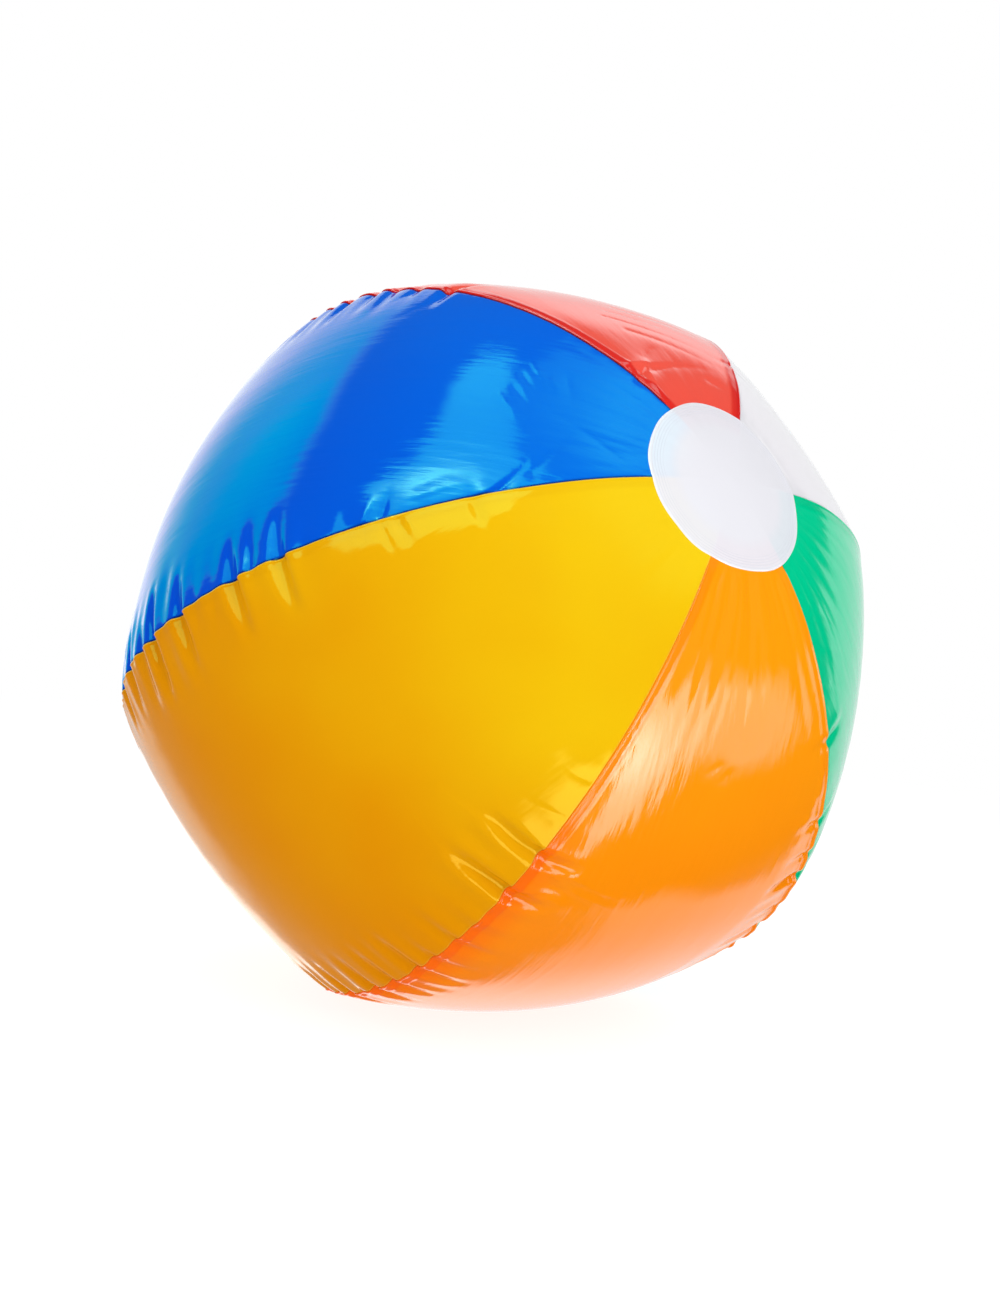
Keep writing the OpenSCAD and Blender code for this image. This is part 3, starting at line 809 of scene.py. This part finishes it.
# ---------------------------------------------------------------- panels
LAP_STEP = [0.10, 0.24, 0.16, 0.18, 0.28, 0.16]              # mm, how far the strip under each panel shows
for k, colour in enumerate(PANELS):
    G, Nn = panel_grid[k], normals[k]
    q = (1 - np.abs(tau_f))[None, :] * wid_f[:, None]
    side = np.where(tau_f < 0, 1, -1)                         # +1: nearer the seam at 60k, -1: nearer the next one
    on_top = np.where(side > 0, LAP_SIDE[k] > 0, LAP_SIDE[(k + 1) % 6] < 0)[None, :]
    # the film on top ends in a rounded weld bead and steps down off the strip under it; the other side dips to meet it
    bead = 0.00026 * np.exp(-((q - 0.00050) / 0.00038) ** 2)
    step = LAP_STEP[k] * MM / (1 + np.exp((q - LAP_W) / 0.00024))
    under_disc = np.clip((np.abs(phi_f) - DISC_PHI + math.radians(0.3)) / math.radians(0.7), 0, 1)[:, None]
    dip = 0.00008 if colour == "yellow" else 0.00024
    rise = np.where(on_top, bead + step, -dip * np.exp(-(q / 0.0006) ** 2)) * (1 - under_disc)
    # painted seam shade: each panel's colour is darkened along its weld line, where the seam groove lies in shade
    weld = np.where(on_top, 0.30 * np.clip(1 - q / 0.00030, 0, 1), np.clip(1.15 - q / 0.00075, 0, 1))
    # yellow's weld line is paler than its film: a painted highlight along both its seams
    if colour == "yellow":
        weld = 0.6 * np.clip(1.2 - q / 0.00055, 0, 1) * np.ones_like(rise)
    # blue's weld line is painted navy seam shade
    if colour == "blue":
        weld = np.clip(1.3 - q / 0.00085, 0, 1) * np.ones_like(rise)
    if colour == "red":                                       # the weld shows dark through the film beside the white panel
        weld = np.where(side > 0, 0.75 * np.exp(-((q - 0.0010) / 0.0011) ** 2), weld)
    outer = G + Nn * rise[..., None]
    inner = G - Nn * (FILM + np.where(on_top, 0.0, 0.0002) * np.exp(-(q / 0.002) ** 2))[..., None]
    lap = np.where(on_top, 1 / (1 + np.exp((q - LAP_W) / 0.0003)), 0.0)
    # painted shade: on the orange panel's low part, a wide darker band runs beside the seam, past the real lap strip
    if colour == "orange":
        low_seam_shade = 1 / (1 + np.exp((np.degrees(phi_f) - 34) / 3))[:, None]
        lap = np.where(side > 0, lap * (0.35 + 0.35 * low_seam_shade) + 0.55 * low_seam_shade * np.exp(-(q / 0.013) ** 4), lap * 0.15)
        lap = np.clip(lap, 0, 1)
    ro, ri = to_row(outer), to_row(inner)
    lift = np.maximum(0.0, 0.00002 - ro[..., 2])              # pressed flat on the floor
    ro[..., 2] += lift
    ri[..., 2] = np.maximum(ri[..., 2], ro[..., 2] + np.where(lift > 0, FILM, -1))
    ob = shell("film_" + colour, ro, ri, {"weld": weld, "lap": lap, "along": np.broadcast_to(s_f[:, None], q.shape) * 10, "across": (tau_f[None, :] * wid_f[:, None]) * 100 + 7 * k})
    ob.data.materials.append(MATS[colour])
    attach(ob, "ball")
    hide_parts("panel_" + colour)

# ---------------------------------------------------------------- end discs
def pole_height(r, az):
    """Height of the film under a disc at that radius and azimuth."""
    t = np.mod(az, math.radians(60)) - math.radians(30)
    x, y = r * np.cos(t), r * np.sin(t)
    rho = np.sqrt((x + SET) ** 2 + y ** 2)
    return np.sqrt(R_ARC ** 2 - (rho - SET + OFF) ** 2)


def disc_skin(name, r_in, mat, node, lower, tints):
    rings = np.concatenate([np.linspace(r_in, 0.0245, 22), np.linspace(0.0252, 0.0305, 12), np.linspace(0.0308, DISC_R, 44)])
    na = 240
    az = np.linspace(0, 2 * math.pi, na, endpoint=False)
    Rr, Az = np.meshgrid(rings, az, indexing="ij")
    rng = np.random.RandomState(11 if lower else 5)
    # the cut edge wanders a little from a true circle
    wob = sum(a * np.cos(m * Az + ph) for m, a, ph in zip((2, 3, 5, 7, 11), (.0004, .0005, .0003, .0002, .0001), rng.uniform(0, 6.28, 5)))
    Rw = Rr * (1 + wob / DISC_R * (Rr / DISC_R) ** 3)
    z = pole_height(Rw, Az)
    mean = z.mean(1, keepdims=True)
    f = np.clip((Rr - 0.006) / 0.024, 0, 1)
    f = f * f * (3 - 2 * f)
    z = mean + (z - mean) * f
    # welded ring pattern near the edge, a soft hollow where the film under it ends
    for r0, h0, w0 in ((0.0361, 0.00010, 0.00030), (0.0349, 0.00007, 0.00022), (0.0338, 0.00007, 0.00022), (0.0327, 0.00006, 0.00022), (0.0316, 0.00005, 0.00022)):
        z = z + h0 * np.exp(-((Rr - r0) / w0) ** 2)
    z = z - 0.00007 / (1 + np.exp((Rr - 0.0255) / 0.0009))
    z = z + 0.00026 - 0.00022 * np.clip((Rr - (DISC_R - 0.0004)) / 0.0004, 0, 1) ** 2
    ripple = sum(a * np.cos(m * Az + ph) for m, a, ph in zip((9, 14, 23, 31), (1, .8, .6, .5), rng.uniform(0, 6.28, 4)))
    z = z + 0.000025 * ripple * np.exp(-((Rr - 0.030) / 0.006) ** 2)
    P = np.stack([Rw * np.cos(Az), Rw * np.sin(Az), z], -1)
    Q = P - np.array([0, 0, FILM])
    if lower:
        P, Q = P * [1, 1, -1], Q * [1, 1, -1]
    ring = np.clip((Rr - 0.0240) / 0.0045, 0, 1) * np.clip((0.0360 - Rr) / 0.0008, 0, 1)
    colour = np.ones(Rr.shape + (3,))
    for k in range(6):
        c = np.array(tints[k][:3])
        w = np.clip((math.radians(30) - np.abs(np.angle(np.exp(1j * (Az - math.radians(60 * k + 30)))))) / math.radians(1.2) + 0.5, 0, 1)
        colour = colour * (1 - w[..., None]) + c * w[..., None]
    colour = 1 + (colour - 1) * ring[..., None]
    if r_in < 0.002:                                          # close the middle
        ob = shell(name, to_row(P), to_row(Q), {"seam_mm": (DISC_R - Rr) * 1000, "under": colour}, wrap=True)
        me = ob.data
        import bmesh
        bm = bmesh.new()
        bm.from_mesh(me)
        bm.verts.ensure_lookup_table()
        n = len(rings) * na
        mid = [bm.verts.new(to_row(np.array([0, 0, zz * (-1 if lower else 1)]))) for zz in (z[0].mean(), z[0].mean() - FILM)]
        layers = [l for l in bm.verts.layers.float_color.values() if l.name == "under"]
        for v in mid:
            for l in layers:
                v[l] = (1, 1, 1, 1)
        for l in bm.verts.layers.float.values():
            if l.name == "seam_mm":
                for v in mid:
                    v[l] = 37.0
        kill = [f_ for f_ in bm.faces if len(f_.verts) == 4 and sum(v.index < na for v in f_.verts) == 2 and sum(n <= v.index < n + na for v in f_.verts) == 2]
        bmesh.ops.delete(bm, geom=kill, context="FACES_ONLY")
        bm.verts.ensure_lookup_table()
        for base_i, v in ((0, mid[0]), (n, mid[1])):
            for i in range(na):
                a, b = bm.verts[base_i + i], bm.verts[base_i + (i + 1) % na]
                fc = bm.faces.new((v, a, b) if base_i == 0 else (v, b, a))
                fc.smooth = True
        bmesh.ops.recalc_face_normals(bm, faces=bm.faces)
        bm.to_mesh(me)
        bm.free()
    else:
        ob = shell(name, to_row(P), to_row(Q), {"seam_mm": (DISC_R - Rr) * 1000, "under": colour}, wrap=True)
    ob.data.materials.append(mat)
    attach(ob, "ball")
    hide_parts(node)
    return ob


def disc_material():
    mat, nt, N, L = nodes_of("disc_film")
    out = N.new("ShaderNodeOutputMaterial")
    p = N.new("ShaderNodeBsdfPrincipled")
    p.inputs["IOR"].default_value = 1.5
    tc = N.new("ShaderNodeTexCoord")
    cloud = noise_node(nt, 20.0, 2.0, 0.5, tc.outputs["Object"])
    col = mix_colour(nt, cloud, lin(237, 236, 242), lin(232, 232, 238))
    col = mix_colour(nt, 1.0, col, attr_node(nt, "under").outputs["Color"], "MULTIPLY")
    rim = attr_node(nt, "seam_mm").outputs["Fac"]
    wave = math_node(nt, "COSINE", math_node(nt, "MULTIPLY", rim, 2 * math.pi / 1.12))
    line = math_node(nt, "POWER", math_node(nt, "MAXIMUM", wave, 0.0), 6.0)
    zone = math_node(nt, "MULTIPLY", smooth_map(nt, rim, 0.8, 1.1), math_node(nt, "SUBTRACT", 1.0, smooth_map(nt, rim, 4.9, 6.4)))
    col = mix_colour(nt, math_node(nt, "MULTIPLY", math_node(nt, "MULTIPLY", line, zone), 0.55), col, lin(214, 216, 228))
    # painted highlight: a thin white line along the disc's edge
    edge = math_node(nt, "SUBTRACT", 1.0, math_node(nt, "MULTIPLY", rim, 1.4), clamp=True)
    col = mix_colour(nt, edge, col, lin(252, 252, 255))
    L.new(col, p.inputs["Base Color"])
    fine = noise_node(nt, 700.0, 2.0, 0.6, tc.outputs["Object"])
    L.new(math_node(nt, "MULTIPLY_ADD", fine, 0.06, 0.14), p.inputs["Roughness"])
    bump = N.new("ShaderNodeBump")
    bump.inputs["Strength"].default_value = 0.2
    bump.inputs["Distance"].default_value = 0.0001
    L.new(noise_node(nt, 260.0, 3.0, 0.6, tc.outputs["Object"]), bump.inputs["Height"])
    L.new(bump.outputs["Normal"], p.inputs["Normal"])
    t = N.new("ShaderNodeBsdfTranslucent")
    t.inputs["Color"].default_value = lin(240, 238, 242)
    mx = N.new("ShaderNodeMixShader")
    mx.inputs[0].default_value = 0.15
    L.new(p.outputs[0], mx.inputs[1])
    L.new(t.outputs[0], mx.inputs[2])
    L.new(mx.outputs[0], out.inputs["Surface"])
    return mat


DISC_MAT = disc_material()
TINTS = [(1.0, .985, .955), (1.0, .965, .97), (.93, .985, .985), (1, 1, 1), (1.0, .975, .985), (.925, .965, 1.0)]
disc_skin("disc_upper", 0.0012, DISC_MAT, "end_disc", False, TINTS)
disc_skin("disc_lower", 0.0105, DISC_MAT, "valve_disc", True, TINTS)


# ---------------------------------------------------------------- valve
def moulded(name, base, rough=0.28):
    mat, nt, N, L = nodes_of(name)
    out = N.new("ShaderNodeOutputMaterial")
    p = N.new("ShaderNodeBsdfPrincipled")
    p.inputs["IOR"].default_value = 1.5
    p.inputs["Subsurface Weight"].default_value = 0.25
    p.inputs["Subsurface Radius"].default_value = (0.002, 0.002, 0.0025)
    p.inputs["Subsurface Scale"].default_value = 1.0
    tc = N.new("ShaderNodeTexCoord")
    cloud = noise_node(nt, 160.0, 3.0, 0.55, tc.outputs["Object"])
    L.new(mix_colour(nt, cloud, base, tuple(v * 0.9 for v in base[:3]) + (1,)), p.inputs["Base Color"])
    L.new(math_node(nt, "MULTIPLY_ADD", cloud, 0.12, rough - 0.05), p.inputs["Roughness"])
    bump = N.new("ShaderNodeBump")
    bump.inputs["Strength"].default_value = 0.3
    bump.inputs["Distance"].default_value = 0.00005
    L.new(noise_node(nt, 1500.0, 2.0, 0.6, tc.outputs["Object"]), bump.inputs["Height"])
    soft = N.new("ShaderNodeBevel")                           # moulded edges are a little round
    soft.samples = 6
    soft.inputs["Radius"].default_value = 0.00018
    L.new(soft.outputs["Normal"], bump.inputs["Normal"])
    L.new(bump.outputs["Normal"], p.inputs["Normal"])
    L.new(p.outputs[0], out.inputs["Surface"])
    return mat


VALVE_MAT = moulded("valve_soft_vinyl", lin(206, 217, 228))
for n in ("valve_flange", "valve_stem", "plug_strap", "valve_plug", "check_flap"):
    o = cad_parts[n]
    o.data.materials.clear()
    o.data.materials.append(VALVE_MAT)

# the folding wall: a thin ribbed cone from the flange to the stem's collar, which turns inside out as the valve pops out
FLANGE_Z = math.sqrt(165.0 ** 2 - (8.7 + 4.0) ** 2) - POLE_Z * 1000
nu, nv = 44, 144
uu, vv = np.meshgrid(np.linspace(0, 1, nu), np.linspace(0, 2 * math.pi, nv, endpoint=False), indexing="ij")
inside = np.clip(uu / 0.08, 0, 1) * np.clip((1 - uu) / 0.08, 0, 1)
r_w = 8.66 + (6.04 - 8.66) * uu + inside * (0.10 * np.cos(2 * math.pi * 4 * uu) - 0.16 * np.sin(math.pi * uu) + 0.03 * np.cos(17 * vv + 5 * uu))
z_w = FLANGE_Z - 0.05 + (-6.5 - FLANGE_Z + 0.05) * uu - 0.05 * inside * np.cos(2 * math.pi * 4 * uu)
top_w = np.stack([r_w * np.cos(vv), r_w * np.sin(vv), z_w], -1)
low_w = top_w - np.array([0, 0, 0.50])
ob = shell("valve_wall", valve_to_row(top_w * MM), valve_to_row(low_w * MM), {"seam_mm": uu}, wrap=True)
ob.data.materials.append(VALVE_MAT)
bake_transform(ob, "ball", "valve", start=tuple(valve_to_row((0, 0, (FLANGE_Z - 0.58) * MM))), end=tuple(valve_to_row((0, 0, -6.45 * MM))))
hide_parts("valve_bellows")

# ---------------------------------------------------------------- camera
W = Matrix(((0.9950460644, -0.0994149351, 0.0), (0.0067264874, 0.0673255429, -0.9977083868), (0.0991871149, 0.9927658043, 0.0676607296)))
R_FIT = 0.161
cam_data = bpy.data.cameras.new("camera")
cam_data.sensor_width = 36.0
cam_data.sensor_fit = "AUTO"
cam_data.lens = 1809.99 / 1297 * 36.0
cam_data.clip_start, cam_data.clip_end = 0.01, 50
cam = bpy.data.objects.new("camera", cam_data)
bpy.context.scene.collection.objects.link(cam)
centre = Vector(BALL_T)
cam.matrix_world = Matrix.Translation(centre + W @ Vector((0.0037167 * R_FIT, 0.0046415 * R_FIT, 5.1136396 * R_FIT))) @ W.to_4x4()
bpy.context.scene.camera = cam


# ---------------------------------------------------------------- studio
def in_poly(P, poly, soft):
    """Soft mask of points [..., 2] inside a polygon, from 0 to 1 over twice the softness at its edge."""
    x, y = P[..., 0], P[..., 1]
    inside = np.zeros(x.shape, bool)
    dist = np.full(x.shape, 1e9)
    n = len(poly)
    for i in range(n):
        (x0, y0), (x1, y1) = poly[i], poly[(i + 1) % n]
        cross = (y0 > y) != (y1 > y)
        with np.errstate(divide="ignore", invalid="ignore"):
            inside ^= cross & (x < (x1 - x0) * (y - y0) / (y1 - y0 + 1e-12) + x0)
        ex, ey = x1 - x0, y1 - y0
        t = np.clip(((x - x0) * ex + (y - y0) * ey) / (ex * ex + ey * ey), 0, 1)
        dist = np.minimum(dist, np.hypot(x - x0 - t * ex, y - y0 - t * ey))
    t = np.clip(np.where(inside, dist, -dist) / (2 * soft) + 0.5, 0, 1)
    return t * t * (3 - 2 * t)


def studio_glow(D):
    """What gloss sees in each direction: softboxes above, a lit wall behind, a reflector low on the right."""
    az = np.degrees(np.arctan2(D[..., 0], D[..., 1]))
    el = np.degrees(np.arcsin(np.clip(D[..., 2], -1, 1)))
    A = np.stack([az, el], -1)
    B = D[..., :2] * (1.14 / np.maximum(D[..., 2:3], 1e-3))          # where the ray meets a ceiling
    up = np.clip((el - 18) / 4, 0, 1)

    def spot(P, x, y, sx, sy):
        return np.exp(-((P[..., 0] - x) / sx) ** 2 - ((P[..., 1] - y) / sy) ** 2)

    g = 0.13 - 0.10 * in_poly(A, [(58, 22), (100, 22), (104, -8), (108, -60), (76, -60), (72, -48), (58, -24)], 4.0)
    # wall behind on the left
    wall = in_poly(A, [(-71, 46), (-50, 48), (-28, 49), (-6, 48), (-6, 0), (-15, -3), (-40, -12), (-56, -8), (-70, 10), (-81, 26), (-80, 38)], 2.6)
    g = g + wall * (1.30 + 0.80 * spot(A, -62, 36, 16, 14))
    # backdrop and lit floor behind
    back = in_poly(A, [(-8, 48), (10, 52), (30, 46), (44, 32), (53, 12), (52, -4), (53, -14), (59, -24), (56, -36), (62, -44), (76, -49), (76, -58), (40, -62), (0, -52), (-25, -30), (-14, -3), (-8, 10)], 3.0)
    back = back * (1 - 0.85 * np.clip((az - 6) / 10, 0, 1) * np.clip((el + 0.25 * az - 40) / 12, 0, 1))
    g = g + back * (0.95 + 0.55 * spot(A, 14, 37, 12, 9) + 0.65 * spot(A, 10, -48, 28, 15))
    g = g + 0.36 * spot(A, -30, -30, 28, 30)
    # softbox overhead, towards the camera
    top = in_poly(B, [(-1.15, -.46), (-.95, -.31), (-.75, -.25), (-.56, -.22), (-.40, -.12), (-.35, .04), (-.25, .14), (-.14, .10), (-.08, -.04),
                      (-.06, -.18), (-.02, -.30), (.07, -.42), (.22, -.60), (.30, -1.0), (.27, -1.62), (-.40, -2.36), (-.90, -2.85), (-2.0, -3.2),
                      (-2.6, -2.6), (-2.0, -1.3)], 0.035)
    over = up * top * (3.3 + 3.5 * spot(B, -.45, -.52, .42, .24) + 1.2 * spot(B, -.22, .02, .2, .2))
    ribs = 0.30 + 0.95 * np.cos(2 * math.pi / 0.052 * (B[..., 1] - 0.16 * B[..., 0]) + 1.2 * np.sin(7 * B[..., 0])) ** 2
    core = up * top * 11.0 * ribs * spot(B, -.50, -.45, .24, .10)
    # second softbox, dimmer, on the right of it
    side = in_poly(B, [(-.16, .06), (-.06, -.02), (.10, .17), (.30, .22), (.62, .16), (.80, -.05), (.75, -.45), (.45, -.62), (.22, -.60), (.07, -.42), (-.02, -.30), (-.06, -.18), (-.08, -.04)], 0.05)
    over = over + up * side * (0.72 + 2.4 * spot(B, .48, -.08, .34, .26)) + up * 0.65 * spot(B, 1.15, -1.05, .75, .6)
    # reflector low on the right
    low = in_poly(A, [(107, -3), (114, -6), (123, -12), (124, -28), (120, -44), (113, -50), (109, -42), (107.5, -26), (104, -14), (103, -5)], 1.6)
    g = g + low * (4.2 + 7.0 * spot(A, 119, -23, 6, 10))
    g = g + in_poly(A, [(87, -9), (94, -2), (103, -1), (106, -6), (106, -20), (98, -23), (89, -19)], 3.0) * 1.9 * (1 - low)
    # a strip low in front, and the floor's light low behind on the left
    g = g + 4.0 * in_poly(A, [(135, -24), (150, -17), (168, -19), (174, -31), (168, -46), (142, -48), (133, -38)], 3.0) * (1 - low)
    g = g + 0.50 * in_poly(A, [(-50, -6), (-5, 0), (-5, -34), (-42, -34)], 7.0)
    # the wall's light is cool where it is far to the left
    cool = wall * np.clip((-29 - az) / 15, 0, 1)
    far_left = wall * np.clip((-50 - az) / 10, 0, 1)
    g = (g + core)[..., None] * (1 - cool[..., None] * np.array([0.85, 0.0, 0.36]) + far_left[..., None] * np.array([-0.15, 0.22, 0.0])) - np.array([0.02, 0.0, 0.0])
    return np.maximum(g + over[..., None] * np.array([0.13, 1.0, 1.0]), 0.0)


def light_dome():
    """A large sphere round the set, seen by gloss alone, so highlights and soft light are set apart."""
    na, ne = 540, 270
    az = np.linspace(-math.pi, math.pi, na, endpoint=False)
    el = np.linspace(-math.pi / 2 + 0.004, math.pi / 2 - 0.004, ne)
    E, A = np.meshgrid(el, az, indexing="ij")
    D = np.stack([np.sin(A) * np.cos(E), np.cos(A) * np.cos(E), np.sin(E)], -1)
    idx = np.arange(na * ne).reshape(ne, na)
    nxt = np.roll(idx, -1, 1)
    faces = np.stack([idx[:-1], nxt[:-1], nxt[1:], idx[1:]], -1).reshape(-1, 4)
    ob = new_mesh("light_dome", (D * 12 + np.array(centre)).reshape(-1, 3), faces.tolist(), {"glow": studio_glow(D).reshape(-1, 3)}, sharp=None)
    mat, nt, N, L = nodes_of("light_dome")
    out = N.new("ShaderNodeOutputMaterial")
    em = N.new("ShaderNodeEmission")
    L.new(attr_node(nt, "glow").outputs["Color"], em.inputs["Color"])
    em.inputs["Strength"].default_value = 1.0
    L.new(em.outputs[0], out.inputs["Surface"])
    mat.cycles.emission_sampling = "NONE"
    ob.data.materials.append(mat)
    ob.visible_camera = ob.visible_shadow = ob.visible_transmission = ob.visible_diffuse = ob.visible_volume_scatter = False


light_dome()


def area(name, loc, target, size, energy, size_y=None, gloss=False, colour=(1, 1, 1)):
    d = bpy.data.lights.new(name, "AREA")
    d.shape = "RECTANGLE"
    d.size = size
    d.size_y = size_y or size
    d.energy = energy
    d.color = colour
    ob = bpy.data.objects.new(name, d)
    ob.location = loc
    ob.rotation_euler = (Vector(target) - Vector(loc)).to_track_quat("-Z", "Y").to_euler()
    ob.visible_glossy = gloss
    bpy.context.scene.collection.objects.link(ob)
    return ob


area("key", (0.55, -1.25, 1.15), centre, 1.3, 15.0)
area("fill_left", (-1.4, -0.5, 0.7), centre, 1.0, 4.0)
area("fill_low", (0.8, -1.2, 0.10), centre, 0.9, 1.8)
area("fill_back", (0.3, 1.5, 1.0), centre, 1.2, 2.5)

# soft surround: a bright low wall behind, dim above and in front
world = bpy.data.worlds.new("studio")
bpy.context.scene.world = world
world.use_nodes = True
wt = world.node_tree
wt.nodes.clear()
w_out = wt.nodes.new("ShaderNodeOutputWorld")
bg = wt.nodes.new("ShaderNodeBackground")
tc = wt.nodes.new("ShaderNodeTexCoord")
sep = wt.nodes.new("ShaderNodeSeparateXYZ")
wt.links.new(tc.outputs["Generated"], sep.inputs[0])


rear = smooth_map(wt, sep.outputs["Y"], -0.3, 0.8)
surround = math_node(wt, "MULTIPLY_ADD", rear, 0.35, 0.55)
lp = wt.nodes.new("ShaderNodeLightPath")
level = wt.nodes.new("ShaderNodeMix")
level.data_type = "FLOAT"
wt.links.new(lp.outputs["Is Camera Ray"], level.inputs[0])
wt.links.new(surround, level.inputs[2])
level.inputs[3].default_value = 1.0
bg.inputs["Color"].default_value = (1, 1, 1, 1)
wt.links.new(level.outputs[0], bg.inputs["Strength"])
wt.links.new(bg.outputs[0], w_out.inputs["Surface"])

# a plain pale floor that brightens to the backdrop's white away from the ball
fm, nt, N, L = nodes_of("floor_white")
out = N.new("ShaderNodeOutputMaterial")
p = N.new("ShaderNodeBsdfDiffuse")
tcf = N.new("ShaderNodeTexCoord")
L.new(mix_colour(nt, noise_node(nt, 3.0, 2.0, 0.5, tcf.outputs["Object"]), (0.28, 0.28, 0.282, 1), (0.30, 0.30, 0.302, 1)), p.inputs["Color"])
em = N.new("ShaderNodeEmission")
em.inputs["Strength"].default_value = 0.86
add = N.new("ShaderNodeAddShader")
L.new(p.outputs[0], add.inputs[0])
L.new(em.outputs[0], add.inputs[1])
far = N.new("ShaderNodeEmission")
far.inputs["Strength"].default_value = 1.0
dist = N.new("ShaderNodeVectorMath")
dist.operation = "LENGTH"
L.new(tcf.outputs["Object"], dist.inputs[0])
mx = N.new("ShaderNodeMixShader")
L.new(smooth_map(nt, dist.outputs["Value"], 0.35, 1.1), mx.inputs[0])
L.new(add.outputs[0], mx.inputs[1])
L.new(far.outputs[0], mx.inputs[2])
L.new(mx.outputs[0], out.inputs["Surface"])
fv, ff = [], []
S = 6.0
n_f = 24
for i in range(n_f + 1):
    for j in range(n_f + 1):
        fv.append((-S + 2 * S * i / n_f, -S + 2 * S * j / n_f, 0.0))
for i in range(n_f):
    for j in range(n_f):
        a = i * (n_f + 1) + j
        ff.append((a, a + n_f + 1, a + n_f + 2, a + 1))
floor = new_mesh("floor", fv, ff, sharp=None)
floor.data.materials.append(fm)
floor.visible_glossy = False          # the dome's lower half stands in for it in reflections

sc = bpy.context.scene
sc.view_settings.view_transform = "Standard"
sc.view_settings.look = "None"
sc.view_settings.exposure = 0.0
sc.view_settings.gamma = 1.0
